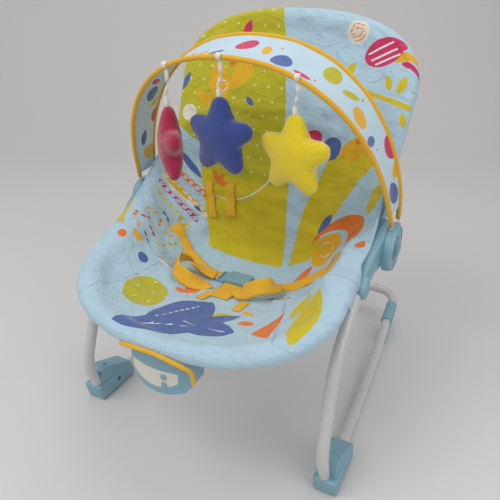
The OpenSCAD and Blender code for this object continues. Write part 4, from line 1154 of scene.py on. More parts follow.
@dataclass
class SeatCover:
    """The padded cover, one sling of apron, pan, side wings and back, and its rear panel."""

    seat: LoopTube
    back: LoopTube
    lining: Colour = (0.78, 0.83, 0.86)
    sleeve_r: float = 0.0128
    wall: float = 0.0022
    columns: int = 152
    front_rows: int = 48
    wing_rows: int = 118
    back_rows: int = 46
    top_rows: int = 36
    wrap_steps: int = 12
    wrap_turn: float = 235.0
    hem_r: float = 0.0034
    apron_end_y: float = -0.118
    bight_len: float = 0.108
    # How far the padded rim stands over the seat tube's sleeve, next to the hub
    rim_lift: float = 0.010
    back_floor: float = 0.004
    soft_folds: tuple[Fold, ...] = (Fold(0.060, 0.0030, 3.1), Fold(0.026, 0.0019, 7.7))
    slack_folds: tuple[Fold, ...] = (
        Fold(0.020, 0.0042, 1.3, (0.45, 1.0, 1.0)), Fold(0.017, 0.0030, 5.2, (1.0, 0.30, 0.30)))
    # Turn of the gathers from one row to the next, in radians, and their height
    gather_step: float = 2.1
    gather_height: float = 0.0020
    rear_folds: tuple[Fold, ...] = (Fold(0.055, 0.0022, 6.1), Fold(0.022, 0.0012, 2.9))
    rear_rows: int = 60
    rear_columns: int = 48
    rear_foot: float = 0.070
    # Share of the rear panel's rows that lie below the loop's rounded end
    rear_split: float = 0.55
    rear_inset: float = 0.985
    rear_lift: float = -0.0118
    rear_wall: float = 0.0012
    # Y and Z of the seat's middle line, from the front tube down the pan
    pan: tuple[Point, ...] = (
        (-0.306, 0.2725), (-0.270, 0.2675), (-0.220, 0.2585), (-0.165, 0.2490),
        (-0.118, 0.2415), (-0.060, 0.2345))
    # Y and Z of the middle line from the pan through the bight and up the back
    middle: tuple[Point, ...] = (
        (-0.118, 0.2415), (-0.080, 0.2365), (-0.040, 0.2335), (-0.004, 0.2365), (0.017, 0.262),
        (0.029, 0.310), (0.0405, 0.354), (0.0561, 0.3908), (0.0744, 0.4341))
    # X, Y and Z of the wing's top edge, from the seat loop to the back loop
    wing: tuple[tuple[float, float, float], ...] = (
        (0.2009, -0.118, 0.3325), (0.2070, -0.100, 0.3405), (0.2110, -0.080, 0.3485),
        (0.2125, -0.060, 0.3570), (0.2120, -0.038, 0.3710), (0.2110, -0.015, 0.3930),
        (0.2085, 0.008, 0.4150), (0.2045, 0.036, 0.4300), (0.1986, 0.064, 0.4375))
    # Share of the half width and of the rise, from the middle of a row to its end
    apron_section: tuple[Point, ...] = (
        (0.0, 0.0), (0.25, 0.03), (0.45, 0.11), (0.62, 0.28), (0.77, 0.52), (0.88, 0.80),
        (0.95, 0.97), (1.0, 1.0))
    wing_section: tuple[Point, ...] = (
        (0.0, 0.0), (0.22, 0.02), (0.42, 0.11), (0.58, 0.27), (0.71, 0.52), (0.79, 0.80),
        (0.85, 0.97), (0.92, 1.01), (1.0, 1.0))
    upper_section: tuple[Point, ...] = (
        (0.0, 0.0), (0.20, 0.02), (0.40, 0.10), (0.57, 0.25), (0.72, 0.45), (0.84, 0.68),
        (0.92, 0.86), (0.97, 0.96), (1.0, 1.0))
    back_section: tuple[Point, ...] = (
        (0.0, 0.04), (0.22, 0.01), (0.42, 0.03), (0.58, 0.14), (0.72, 0.36), (0.83, 0.66),
        (0.91, 0.90), (1.0, 1.0))

    def build(self, finishes: Finishes) -> bpy.types.Object:
        """Sew the cover and its rear panel, dress them and let the rear panel ride on the back.

        Args:
            finishes: makes their cloth.

        Returns:
            The cover, for the harness to lie on.
        """
        cover = self._front()
        places = flat_of_points(cover)
        design = cover_design()
        design.apply(cover, places)
        seams = cover_seams()
        paint(cover, "seam", [min(seam(p) for seam in seams) for p in places])
        cover.data.materials.append(finishes.cloth(
            "printed_cotton", Ink.SKY.value, seams=True,
            inks=design.inks(COVER_INKS, dotted=[Ink.LIME])))
        cover.data.materials.append(finishes.cloth("lining_cotton", self.lining))
        thicken(cover, self.wall)
        # The reverse takes the second material, the lining
        cover.modifiers["thickness"].material_offset = 1
        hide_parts("seat_cover", "wing_left", "wing_right", "back_cover")
        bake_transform(cover)
        log.info("seat cover sewn")
        rear = self._rear()
        rear.data.materials.append(finishes.cloth("plain_cotton", Ink.SKY.value))
        thicken(rear, self.rear_wall, 0.0)
        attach(rear, "back")
        log.info("rear panel of the back sewn")
        return cover

    def _front(self) -> bpy.types.Object:
        """Build the cover's front face with its wrapped edges, creased and gathered.

        Returns:
            The cover, before its thickness.
        """
        rows = self._rows()
        self._crease([points for points, _ in rows])
        return sheet("seat_cover_sewn", self._wrapped(rows))

    def _rear(self) -> bpy.types.Object:
        """Build the panel that closes the back from behind, tube to tube.

        Returns:
            The panel, before its thickness.
        """
        tube = self.back
        rows = []
        for i in range(self.rear_rows + 1):
            t = i / self.rear_rows
            points, places = [], []
            for j in range(self.rear_columns + 1):
                u = 2.0 * j / self.rear_columns - 1.0
                x, s = tube.arc(abs(u))
                if t > self.rear_split:
                    s = mix(tube.straight, s, (t - self.rear_split) / (1.0 - self.rear_split))
                else:
                    s = mix(self.rear_foot, tube.straight, t / self.rear_split)
                    x = tube.half_width(s) * abs(u)
                x = math.copysign(x * self.rear_inset, u)
                p = tube.at(x, s, self.rear_lift)
                soft = sum(fold.at(p) for fold in self.rear_folds)
                points.append(p + tube.normal * (soft * smoothstep(1.0, 0.85, abs(u))))
                places.append((x, s))
            rows.append((points, places))
        return sheet("back_panel_rear", rows)

    def _share(self, j: int) -> float:
        """Place of a column across the cover, from -1 to 1."""
        return 2.0 * j / self.columns - 1.0

    def _rows(self) -> list[Row]:
        """Lay out every row of the cover from the front rim to the top of the back.

        Returns:
            The rows, before their folds.
        """
        out = []
        for i in range(self.front_rows):
            out.append(self._loop_row(self.seat, i / self.front_rows, self._seat_height,
                                      self._seat_flat))
        keys_c = [Vector((0.0, y, z)) for y, z in self.middle]
        keys_e = [Vector(p) for p in self.wing]
        along = self.apron_end_y
        last = None
        for i in range(self.wing_rows):
            t = (len(keys_e) - 1) * i / self.wing_rows
            centre = spline(keys_c, t)
            along += (centre - last).length if last else 0.0
            last = centre
            out.append(self._wing_row(centre, spline(keys_e, t), t, along))
        s_low = (self.middle[-1][1] - self.back.origin.z) / self.back.along.z
        for i in range(self.back_rows):
            out.append(self._back_row(mix(s_low, self.back.straight, i / self.back_rows)))
        for i in range(self.top_rows + 1):
            out.append(self._loop_row(self.back, 1.0 - i / self.top_rows, self._back_height,
                                      self._back_flat))
        return out

    def _loop_row(self, tube: LoopTube, share: float,
                  height: Callable[[float, float], float],
                  flat: Callable[[float, float], Point]) -> Row:
        """Lay a row in the rounded part of a loop.

        Args:
            tube: the loop.
            share: 0 along its rounded end, 1 straight across where its sides begin.
            height: gives the cloth's height over the loop's plane for X and the distance along.
            flat: gives the flat place for the same two.

        Returns:
            The row.
        """
        row, places = [], []
        s_end = tube.straight
        if tube is self.seat:
            s_end = (tube.origin.y - self.apron_end_y) / abs(tube.along.y)
        for j in range(self.columns + 1):
            u = self._share(j)
            ax, a_s = tube.arc(abs(u))
            x = mix(ax, tube.half_width(s_end) * abs(u), share) * (1 if u >= 0 else -1)
            s = mix(a_s, s_end, share)
            row.append(tube.at(x, s, height(x, s)))
            places.append(flat(x, s))
        return row, places

    def _near_rim(self, tube: LoopTube, x: float, s: float) -> float:
        """Tell how near a point lies to a loop's rounded rim.

        Args:
            tube: the loop.
            x: distance from the middle line.
            s: distance along the loop's plane.

        Returns:
            1 over the tube, falling to 0 at 30 mm inside it.
        """
        over = max(0.0, s - tube.straight) / tube.round_l
        reach = ((abs(x) / tube.half) ** tube.square + over ** tube.square) ** (1 / tube.square)
        return 1.0 - smoothstep(0.004, 0.030, (1.0 - reach) * tube.round_l)

    def _seat_height(self, x: float, s: float) -> float:
        """Look up the height of the seat's upper face.

        Args:
            x: distance from the middle line.
            s: distance along the seat loop's plane.

        Returns:
            Height above that plane.
        """
        y = self.seat.at(0.0, s).y
        floor = look_up(self.pan, y) - self.seat.at(0.0, s).z
        u = min(1.0, abs(x) / max(0.004, self.seat.half_width(s)))
        deep = smoothstep(-0.200, self.apron_end_y, y)
        rise = mix(look_up(self.apron_section, u), look_up(self.wing_section, u), deep)
        rise = 1.0 - (1.0 - rise) * (1.0 - self._near_rim(self.seat, x, s))
        return mix(floor, self.sleeve_r + self._rim_at(y), rise)

    def _rim_at(self, y: float) -> float:
        """How far the padded rim stands over the seat tube's sleeve at a distance back."""
        return self.rim_lift * smoothstep(-0.190, self.apron_end_y, y)

    @staticmethod
    def _section(keys: tuple[Point, ...], u: float) -> Point:
        """Look up a row's section: its share of the half width and of the rise."""
        p = spline([Vector((a, b, 0.0)) for a, b in keys], u * (len(keys) - 1))
        return min(1.0, p.x), p.y

    def _seat_flat(self, x: float, s: float) -> Point:
        """Flat place of a seat point."""
        return x, self.seat.at(0.0, s).y

    def _wing_row(self, centre: Vector, edge: Vector, t: float, along: float) -> Row:
        """Lay a row of the deep part, with walls that rise to the wings' top edges.

        Args:
            centre: the row's point on the middle line.
            edge: its point on the right wing's top edge.
            t: its place along the wing's keys.
            along: its distance along the middle line.

        Returns:
            The row.
        """
        row = []
        last = len(self.wing) - 1
        # The wing starts evenly spread as on the seat, rises with steeper walls, and ends with
        # the back's own section
        from_seat = 1.0 - smoothstep(0.0, 1.6, t)
        raised = smoothstep(3.0, 4.8, t)
        to_back = smoothstep(5.8, last, t)
        for j in range(self.columns + 1):
            u = self._share(j)
            a = abs(u)
            even = (a, look_up(self.wing_section, a))
            low, upper, back = (self._section(keys, a) for keys in (
                self.wing_section, self.upper_section, self.back_section))
            x, rise = (mix(mix(mix(low[k], upper[k], raised), even[k], from_seat), back[k],
                           to_back) for k in (0, 1))
            p = centre.lerp(edge, rise)
            p.x = edge.x * x * (1 if u >= 0 else -1)
            row.append(p)
        half = self.columns // 2
        places = [(0.0, along)] * len(row)
        for step in (1, -1):
            reach = 0.0
            for k in range(1, half + 1):
                j = half + k * step
                reach += (row[j] - row[j - step]).length
                places[j] = (reach * step, along)
        return row, places

    def _back_height(self, x: float, s: float) -> float:
        """Look up the height of the back's face.

        Args:
            x: distance from the middle line.
            s: distance along the back loop's plane.

        Returns:
            Height in front of that plane.
        """
        u = min(1.0, abs(x) / max(0.004, self.back.half_width(s)))
        rise = look_up(self.back_section, u)
        rise = 1.0 - (1.0 - rise) * (1.0 - self._near_rim(self.back, x, s))
        return mix(self.back_floor, self.sleeve_r, rise)

    def _back_flat(self, x: float, s: float) -> Point:
        """Flat place of a back point, on from the seat's by the length of the bight."""
        return x, s + self.bight_len

    def _back_row(self, s: float) -> Row:
        """Lay a straight row across the back.

        Args:
            s: distance along the back loop's plane.

        Returns:
            The row.
        """
        half = self.back.half_width(s)
        row, places = [], []
        near = 1.0 - smoothstep(0.109, 0.150, s)
        for j in range(self.columns + 1):
            u = self._share(j)
            x = half * mix(abs(u), self._section(self.back_section, abs(u))[0], near)
            x = math.copysign(x, u)
            row.append(self.back.at(x, s, self._back_height(x, s)))
            places.append(self._back_flat(x, s))
        return row, places

    def _crease(self, rows: list[list[Vector]]) -> None:
        """Pull soft folds into the slack parts and gathers into the elastic wing edges.

        Args:
            rows: points of the front face, changed in place.
        """
        count = len(rows)
        wing_from, wing_to = self.front_rows, self.front_rows + self.wing_rows
        fresh = [[p.copy() for p in row] for row in rows]
        for i in range(1, count - 1):
            # The slack runs from the pan up into the back, the gathers along the wings' edges
            deep = smoothstep(wing_from - 22, wing_from + 20, i) * (
                1.0 - smoothstep(wing_to + 8, wing_to + 56, i))
            at_wing = smoothstep(wing_from + 30, wing_from + 50, i) * (
                1.0 - smoothstep(wing_to - 14, wing_to - 3, i))
            gather = math.sin(i * self.gather_step + math.sin(i * 0.9) * 1.2)
            for j in range(1, self.columns):
                ahead = fresh[i + 1][j] - fresh[i - 1][j]
                across = fresh[i][j + 1] - fresh[i][j - 1]
                normal = across.cross(ahead)
                if normal.length < 1e-9:
                    continue
                normal.normalize()
                a = abs(self._share(j))
                rim = smoothstep(1.0, 0.90, a)
                p = fresh[i][j]
                soft = sum(fold.at(p) for fold in self.soft_folds)
                slack = sum(fold.at(p) for fold in self.slack_folds)
                lift = soft * rim + slack * deep * rim
                lift += gather * self.gather_height * at_wing * smoothstep(0.80, 0.99, a)
                rows[i][j] = p + normal * lift

    def _wrapped(self, rows: list[Row]) -> list[Row]:
        """Carry the cover's edges on round the tubes, and roll the wings' hems.

        Args:
            rows: the front face.

        Returns:
            The rows with their wrapped ends, between the rows that wrap the loops' ends.
        """
        out = []
        for i, (row, flat) in enumerate(rows):
            sides = []
            for end in (0, -1):
                side = 1 if end else -1
                centre, normal, outward, r = self._roll(i, row[end], side)
                loops = []
                for k in range(1, self.wrap_steps + 1):
                    a = math.radians(self.wrap_turn) * k / self.wrap_steps
                    p = centre + (normal * math.cos(a) + outward * math.sin(a)) * r
                    loops.append((p, (flat[end][0] + side * r * a, flat[end][1])))
                sides.append(loops)
            left, right = sides
            out.append(([p for p, _ in reversed(left)] + row + [p for p, _ in right],
                        [f for _, f in reversed(left)] + flat + [f for _, f in right]))
        front = self._end_wraps(*out[0], self.seat, -1.0)
        top = self._end_wraps(*out[-1], self.back, 1.0)
        return front[::-1] + out + top

    def _roll(self, i: int, edge: Vector, side: int) -> tuple[Vector, Vector, Vector, float]:
        """Shape the roll at a row's end: round a tube, or a hem along a wing's free edge.

        Args:
            i: number of the row.
            edge: the row's last point.
            side: -1 at the left, 1 at the right.

        Returns:
            The roll's centre, its start direction, its outward direction and its radius.
        """
        outward = Vector((float(side), 0.0, 0.0))
        wing_from = self.front_rows
        wing_to = self.front_rows + self.wing_rows
        if i < wing_from:
            r = self.sleeve_r + self._rim_at(edge.y) / 2
            return edge - self.seat.normal * r, self.seat.normal, outward, r
        if i >= wing_to:
            r = self.sleeve_r
            return edge - self.back.normal * r, self.back.normal, outward, r
        t = (i - wing_from) / self.wing_rows
        near_seat = 1.0 - smoothstep(0.0, 0.22, t)
        near_back = smoothstep(0.88, 1.0, t)
        normal = (self.seat.normal * (1.0 - t) + self.back.normal * t).normalized()
        near = max(near_seat, near_back)
        gather = 1.0 + 0.22 * math.sin(i * self.gather_step) * (1.0 - near)
        full = self.sleeve_r + (self.rim_lift / 2 if t < 0.5 else 0.0)
        r = mix(self.hem_r * gather, full, near)
        return edge - normal * r, normal, outward, r

    def _end_wraps(self, row: list[Vector], flat: list[Point], tube: LoopTube,
                   sign: float) -> list[Row]:
        """Wrap the rounded end of the cover round its tube.

        Args:
            row: the end row with its side wraps.
            flat: flat places of that row.
            tube: the loop that it wraps.
            sign: -1 where the flat layout ends at its low side, 1 at its high side.

        Returns:
            The wrap's rows, from the edge outwards.
        """
        first, last = self.wrap_steps, len(row) - 1 - self.wrap_steps
        out = []
        for k in range(1, self.wrap_steps + 1):
            a = math.radians(self.wrap_turn) * k / self.wrap_steps
            line, places = [], []
            for j, p in enumerate(row):
                if first <= j <= last:
                    step = row[min(last, j + 1)] - row[max(first, j - 1)]
                    outward = step.cross(tube.normal)
                    outward = (outward - tube.normal * outward.dot(tube.normal)).normalized()
                    if outward.dot(tube.along) < -1e-4:
                        outward = -outward
                    centre = p - tube.normal * self.sleeve_r
                    p = centre + (tube.normal * math.cos(a) + outward * math.sin(a)
                                  ) * self.sleeve_r
                line.append(p)
                places.append((flat[j][0], flat[j][1] + sign * self.sleeve_r * a))
            out.append((line, places))
        return out


# ---- strips, tubes and stuffed shapes --------------------------------------------------------


def sweep_round(name: str, path: list[Vector], radius: Callable[[float], float],
                around: int = 14) -> bpy.types.Object:
    """Make a round cord or binding along a path, with closed ends.

    Args:
        name: name of the new piece.
        path: points that its middle follows.
        radius: half its thickness at a share of the path from 0 to 1.
        around: points round its section.

    Returns:
        The piece, with its length and its girth as its flat layout.
    """
    rows, flats = [], []
    side = Vector((0.0, 1.0, 0.0))
    length = 0.0
    last = len(path) - 1
    for i, p in enumerate(path):
        ahead = (path[min(last, i + 1)] - path[max(0, i - 1)]).normalized()
        side = (side - ahead * side.dot(ahead)).normalized()
        up = side.cross(ahead)
        if i:
            length += (p - path[i - 1]).length
        r = radius(i / last)
        turns = [math.tau * k / around for k in range(around + 1)]
        rows.append([p + (side * math.cos(a) + up * math.sin(a)) * r for a in turns])
        flats.append([(a * r, length) for a in turns])
    maker = Mesh(name)
    maker.grid(rows, flats)
    return maker.finish(merge=1e-6)


def sweep_strip(name: str, path: list[Vector], sides: list[Vector],
                width: Callable[[float], float], columns: int = 6) -> bpy.types.Object:
    """Make a flat strip, such as webbing or ribbon, along a path.

    Args:
        name: name of the new piece.
        path: points that its middle follows.
        sides: direction across the strip at each point.
        width: full width at a share of the path from 0 to 1.
        columns: faces across.

    Returns:
        The strip, without thickness.
    """
    rows = []
    length = 0.0
    last = len(path) - 1
    shares = [k / columns - 0.5 for k in range(columns + 1)]
    for i, p in enumerate(path):
        ahead = (path[min(last, i + 1)] - path[max(0, i - 1)]).normalized()
        across = (sides[i] - ahead * sides[i].dot(ahead)).normalized()
        if i:
            length += (p - path[i - 1]).length
        w = width(i / last)
        rows.append(([p + across * (u * w) for u in shares], [(u * w, length) for u in shares]))
    return sheet(name, rows)


def eased(points: Sequence[Sequence[float]], steps: int) -> list[Vector]:
    """Run a smooth path through a few points.

    Args:
        points: X, Y and Z of each point.
        steps: steps between each point and the next.

    Returns:
        The path.
    """
    keys = [Vector(p) for p in points]
    count = (len(keys) - 1) * steps
    return [spline(keys, i / steps) for i in range(count + 1)]


# ---- canopy ----------------------------------------------------------------------------------


@dataclass
class Canopy:
    """The folding sun canopy: a band of thin cloth between two piped hoops."""

    hub: Vector
    half_front: float = 0.234
    half_rear: float = 0.237
    height: float = 0.298
    square: float = 2.26
    tilt_front: float = 21.2
    tilt_rear: float = 8.9
    rear_y: float = 0.038
    rear_z: float = 0.004
    join: float = 0.052
    piping_r: float = 0.00375
    # Where the piping starts: distance from the hub, and the first turn on the hoop itself
    start_r: float = 0.046
    first_turn: int = 12
    sag: float = 0.0055
    from_turn: float = 8.5
    steps: int = 120
    columns: int = 16
    pull_folds: Fold = Fold(0.030, 0.0018, 4.2)
    soft_folds: Fold = Fold(0.070, 0.0030, 9.3)
    pucker_size: float = 0.0105
    pucker_height: float = 0.0004
    seam_inset: float = 0.006

    def arch(self, half: float, turn: float) -> Point:
        """Find a place in a hoop's plane.

        Args:
            half: the hoop's half width.
            turn: degrees from one hub (0) over the top (90) to the other (180).

        Returns:
            Distance from the middle line, and height above the hub.
        """
        a = math.radians(turn)
        c, s = math.cos(a), math.sin(a)
        e = 2.0 / self.square
        return math.copysign(half * abs(c) ** e, c), self.height * max(0.0, s) ** e

    def front(self, turn: float) -> Vector:
        """Find a point on the front hoop.

        Args:
            turn: degrees round the hoop.

        Returns:
            The point.
        """
        x, h = self.arch(self.half_front, turn)
        a = math.radians(self.tilt_front)
        return self.hub + Vector((x, -math.sin(a) * h, math.cos(a) * h))

    def rear(self, turn: float) -> Vector:
        """Find a point on the rear hoop.

        Args:
            turn: degrees round the hoop.

        Returns:
            The point.
        """
        x, h = self.arch(self.half_rear, turn)
        a = math.radians(self.tilt_rear)
        return self.hub + Vector((x, self.rear_y - math.sin(a) * h,
                                  self.rear_z + math.cos(a) * h))

    @staticmethod
    def _mirrored(path: list[Vector]) -> list[Vector]:
        """Carry a path that ends at the top of a hoop on down the other side."""
        return path + [Vector((-p.x, p.y, p.z)) for p in reversed(path[:-1])]

    def _front_path(self) -> list[Vector]:
        """Run the middle of the front piping from hub to hub.

        Returns:
            Its path.
        """
        first = self.front(self._turn_at(self.start_r))
        # Just clear of the hub's housing, which the canopy turns past
        first.x = self.half_front + 0.0002
        return self._mirrored([first] + [self.front(t) for t in range(self.first_turn, 91)])

    def _turn_at(self, h: float) -> float:
        """Turn at which a hoop's plane height is h."""
        return math.degrees(math.asin((h / self.height) ** (self.square / 2.0)))

    def _rear_path(self) -> list[Vector]:
        """Run the middle of the rear piping from hub to hub, bent in to the hub discs.

        Returns:
            Its path.
        """
        meet = self.rear(self._turn_at(self.join))
        hub = Vector((meet.x, self.hub.y, self.hub.z))
        start = hub + (meet - hub).normalized() * self.start_r
        hoop = [self.rear(t) for t in range(self.first_turn, 91)]
        return self._mirrored([start] + [p for p in hoop if p.z > meet.z])

    def _cloth(self) -> bpy.types.Object:
        """Hang the cloth between the hoops, slack in the middle and puckered at the piping.

        Returns:
            The band, without thickness.
        """
        rows = []
        along = 0.0
        last = None
        for i in range(self.steps + 1):
            t = mix(self.from_turn, 180.0 - self.from_turn, i / self.steps)
            a, b = self.front(t), self.rear(t)
            mid = (a + b) / 2
            if last is not None:
                along += (mid - last).length
            last = mid
            inward = self.hub - mid
            inward.y = 0.0
            inward.normalize()
            reach = (b - a).length
            points, places = [], []
            for j in range(self.columns + 1):
                v = j / self.columns
                p = a.lerp(b, v)
                bow = math.sin(math.pi * v)
                folds = self.pull_folds.at(Vector((along, v * 0.02, 0.0))) + self.soft_folds.at(p)
                pucker = math.sin(along / self.pucker_size) * self.pucker_height * (1.0 - bow)
                points.append(p + inward * ((self.sag + folds) * bow + pucker))
                places.append((along, v * reach))
            rows.append((points, places))
        return sheet("canopy_band", rows)

    def build(self, finishes: Finishes) -> None:
        """Sew the cloth and the piping and let them ride on the canopy.

        Args:
            finishes: makes their cloth.
        """
        cloth = self._cloth()
        places = flat_of_points(cloth)
        length, width = (max(place[k] for place in places) for k in (0, 1))
        design = canopy_design(length, width)
        design.apply(cloth, places)
        paint(cloth, "seam", [abs(v - self.seam_inset) for _, v in places])
        cloth.data.materials.append(finishes.cloth(
            "canopy_cotton", Ink.PALE_SKY.value, seams=True, crease_depth=0.0006,
            inks=design.inks([Ink.LIME, Ink.GOLD, Ink.ORANGE, Ink.NAVY, Ink.MAGENTA,
                              Ink.WHITE])))
        thicken(cloth, 0.0008, 0.0)
        subdivide(cloth)
        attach(cloth, "canopy")
        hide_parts("canopy_cloth")
        piping = finishes.trim("piping_cotton")
        for label, path in (("front", self._front_path()), ("rear", self._rear_path())):
            piece = sweep_round(f"piping_{label}", path, lambda share: self.piping_r)
            piece.data.materials.append(piping)
            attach(piece, "canopy")
            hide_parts(f"canopy_piping_{label}")
        log.info("canopy sewn, %.0f mm over the arch", length * 1000)


def canopy_design(length: float, width: float) -> Design:
    """Scatter ovals, leaves and dots over the canopy band.

    Args:
        length: the band's length over the arch.
        width: its width from hoop to hoop.

    Returns:
        The design.
    """
    design = Design()
    motifs = 11
    ovals = (Ink.NAVY, Ink.MAGENTA, Ink.GOLD, Ink.LIME)
    leaves = (Ink.GOLD, Ink.NAVY, Ink.LIME, Ink.MAGENTA)
    step = length / motifs
    for k in range(motifs):
        x = step * (k + 0.5)
        y = width * (0.36 + 0.30 * (k % 2))
        design.add(ovals[k % 4], oval(x, y, 0.0190, 0.0145, 25.0 * k))
        design.add(Ink.WHITE, bar(x + 0.004, y + 0.005, x + 0.009, y + 0.003, 0.0010))
        design.add(leaves[k % 4],
                   leaf(x + step * 0.46, width * 0.92 - y, 0.034, 0.015, 40.0 + 53.0 * k))
        design.add(Ink.ORANGE, disc(x + step * 0.2, width * 0.5 + 0.02 * (-1) ** k, 0.0035))
    return design


# ---- hanging toys ----------------------------------------------------------------------------


@dataclass(frozen=True)
class StarToy:
    """A plush star on a twisted satin ribbon."""

    side: str
    slot: str
    colour: Colour
    turn: float
    tip_r: float = 0.058
    thickness: float = 0.037
    notch: float = 0.60
    round_r: float = 0.0135
    # Height of the star's middle over its lowest point
    middle_h: float = 0.04845
    rings: int = 22
    around: int = 160
    crease_height: float = 0.0007
    crumple_size: float = 0.016
    crumple_height: float = 0.0011
    puff_cells: int = 90
    puff_rounds: int = 1400
    # Power that turns the solved bulge into the roundness of stuffed plush
    puff_power: float = 0.43
    ribbon_w: float = 0.0085
    ribbon_twist: float = 430.0
    loop_r: float = 0.0052

    def _outline(self, a: float) -> float:
        """Measure the star's outline, five points with rounded tips.

        Args:
            a: direction from the middle, in radians.

        Returns:
            Distance from the middle to the edge.
        """
        step = math.radians(36.0)
        fold = (a - math.pi / 2) % (2 * step)
        fold = min(fold, 2 * step - fold)
        dip_r = self.tip_r * self.notch
        dip = Vector((dip_r * math.sin(step), dip_r * math.cos(step)))
        to_tip = Vector((0.0, self.tip_r - self.round_r)) - dip
        lean = math.asin(self.round_r / to_tip.length)
        c, s = math.cos(-lean), math.sin(-lean)
        edge = Vector((to_tip.x * c - to_tip.y * s, to_tip.x * s + to_tip.y * c)).normalized()
        ray = Vector((math.sin(fold), math.cos(fold)))
        across = ray.x * edge.y - ray.y * edge.x
        side = (dip.x * edge.y - dip.y * edge.x) / across
        middle = self.tip_r - self.round_r
        under = self.round_r ** 2 - (middle * ray.x) ** 2
        tip = middle * ray.y + math.sqrt(under) if under > 0.0 else 0.0
        touch = dip + edge * math.sqrt(to_tip.length ** 2 - self.round_r ** 2)
        reach = tip if fold < math.atan2(touch.x, touch.y) else side
        return max(reach, dip_r * 1.05)

    def _puff(self) -> Callable[[float, float], float]:
        """Solve how a stuffed star of this outline swells.

        Returns:
            A look-up by place on the star, 0 at its seam and 1 at its middle.
        """
        count = self.puff_cells
        span = self.tip_r * 1.06
        axis = np.linspace(-span, span, count)
        xs, ys = np.meshgrid(axis, axis, indexing="ij")
        reach = np.vectorize(self._outline)(np.arctan2(ys, xs))
        inside = np.hypot(xs, ys) < reach
        swell = np.zeros((count, count))
        for _ in range(self.puff_rounds):
            around = (np.roll(swell, 1, 0) + np.roll(swell, -1, 0) + np.roll(swell, 1, 1)
                      + np.roll(swell, -1, 1)) / 4 + 1.0
            swell = np.where(inside, around, 0.0)
        swell = (swell / swell.max()) ** self.puff_power

        def look(x: float, y: float) -> float:
            """Look up the swelling between the solved cells.

            Args:
                x: place across the star.
                y: place up the star.

            Returns:
                The swelling.
            """
            u = (x + span) / (2 * span) * (count - 1)
            v = (y + span) / (2 * span) * (count - 1)
            i, j = int(max(0, min(count - 2, u))), int(max(0, min(count - 2, v)))
            fu, fv = u - i, v - j
            return float(mix(mix(swell[i, j], swell[i + 1, j], fu),
                             mix(swell[i, j + 1], swell[i + 1, j + 1], fu), fv))

        return look

    def build(self, finishes: Finishes) -> None:
        """Stuff the star, twist its ribbon and hang both from the canopy.

        Args:
            finishes: makes their cloth.
        """
        low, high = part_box(f"toy_star_{self.side}")
        middle = Vector(((low[0] + high[0]) / 2, (low[1] + high[1]) / 2, low[2] + self.middle_h))
        star = self._plush(middle)
        star.data.materials.append(finishes.cloth(
            self.slot, self.colour, thread=0.0011, thread_share=0.5, roughness=0.9, sheen=0.5,
            crease_depth=0.0009))
        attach(star, f"toy_{self.side}")
        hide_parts(f"toy_star_{self.side}")
        self._ribbon(finishes, middle)
        log.info("%s star stuffed", self.side)

    def _plush(self, middle: Vector) -> bpy.types.Object:
        """Sew two swollen faces together at the star's outline.

        Args:
            middle: the star's middle.

        Returns:
            The star.
        """
        turn = Matrix.Rotation(math.radians(self.turn), 3, "Z")
        puff = self._puff()
        folds = Fold(self.crumple_size, self.crumple_height, 2.0 + self.turn)
        maker = Mesh(f"plush_star_{self.side}")
        for face in (1, -1):
            rows, flats = [], []
            for i in range(self.rings + 1):
                share = math.sin(math.pi / 2 * i / self.rings)
                near = smoothstep(0.45, 0.97, share)
                row, flat = [], []
                for k in range(self.around + 1):
                    a = math.tau * (k % self.around) / self.around
                    r = self._outline(a) * share
                    x, z = math.cos(a) * r, math.sin(a) * r
                    # The last ring is the seam, where both faces meet
                    lift = puff(x, z) if i < self.rings else 0.0
                    crease = math.sin(a * 37.0 + math.sin(a * 9.0) * 2.0)
                    rough = crease * self.crease_height * near + folds.at(
                        Vector((x, face * 0.03, z)))
                    y = -face * (lift * self.thickness / 2 * 1.04 + rough * lift ** 0.5)
                    row.append(middle + turn @ Vector((x, y, z)))
                    flat.append((x + 0.2 * face, z))
                rows.append(row if face > 0 else row[::-1])
                flats.append(flat if face > 0 else flat[::-1])
            maker.grid(rows, flats)
        return maker.finish(merge=1e-5)

    def _ribbon(self, finishes: Finishes, middle: Vector) -> None:
        """Loop the ribbon over the hoop and twist its two tails down to the star.

        Args:
            finishes: makes its satin.
            middle: the star's middle.
        """
        low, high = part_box(f"toy_ribbon_{self.side}")
        x, y = (low[0] + high[0]) / 2, (low[1] + high[1]) / 2
        top = high[2] - 0.0046
        foot = middle.z + self.tip_r * 0.93
        path, sides = [], []
        for i in range(13):
            a = math.radians(100.0 - 190.0 * i / 12)
            path.append(Vector((x, y - math.cos(a) * self.loop_r,
                                top + math.sin(a) * self.loop_r)))
            sides.append(Vector((1.0, 0.0, 0.0)))
        steps = 44
        start = path[-1].copy()
        for i in range(1, steps + 1):
            share = i / steps
            z = mix(start.z, foot, share)
            twist = math.radians(self.ribbon_twist) * smoothstep(0.05, 0.98, share)
            sway = math.sin(share * math.pi * 2.0) * 0.0016
            path.append(Vector((x + sway, mix(start.y, middle.y, share), z)))
            sides.append(Vector((math.cos(twist), math.sin(twist), 0.0)))
        ribbon = sweep_strip(
            f"satin_ribbon_{self.side}", path, sides,
            lambda share: self.ribbon_w * (1.0 - 0.35 * math.sin(share * math.pi) ** 2), 4)
        ribbon.data.materials.append(finishes.cloth(
            "satin", (0.90, 0.87, 0.84), thread=0.0004, thread_share=0.6, roughness=0.32,
            sheen=0.1, crease_depth=0.0002))
        thicken(ribbon, 0.0005, 0.0)
        subdivide(ribbon)
        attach(ribbon, f"toy_{self.side}")
        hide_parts(f"toy_ribbon_{self.side}")


# ---- harness ---------------------------------------------------------------------------------


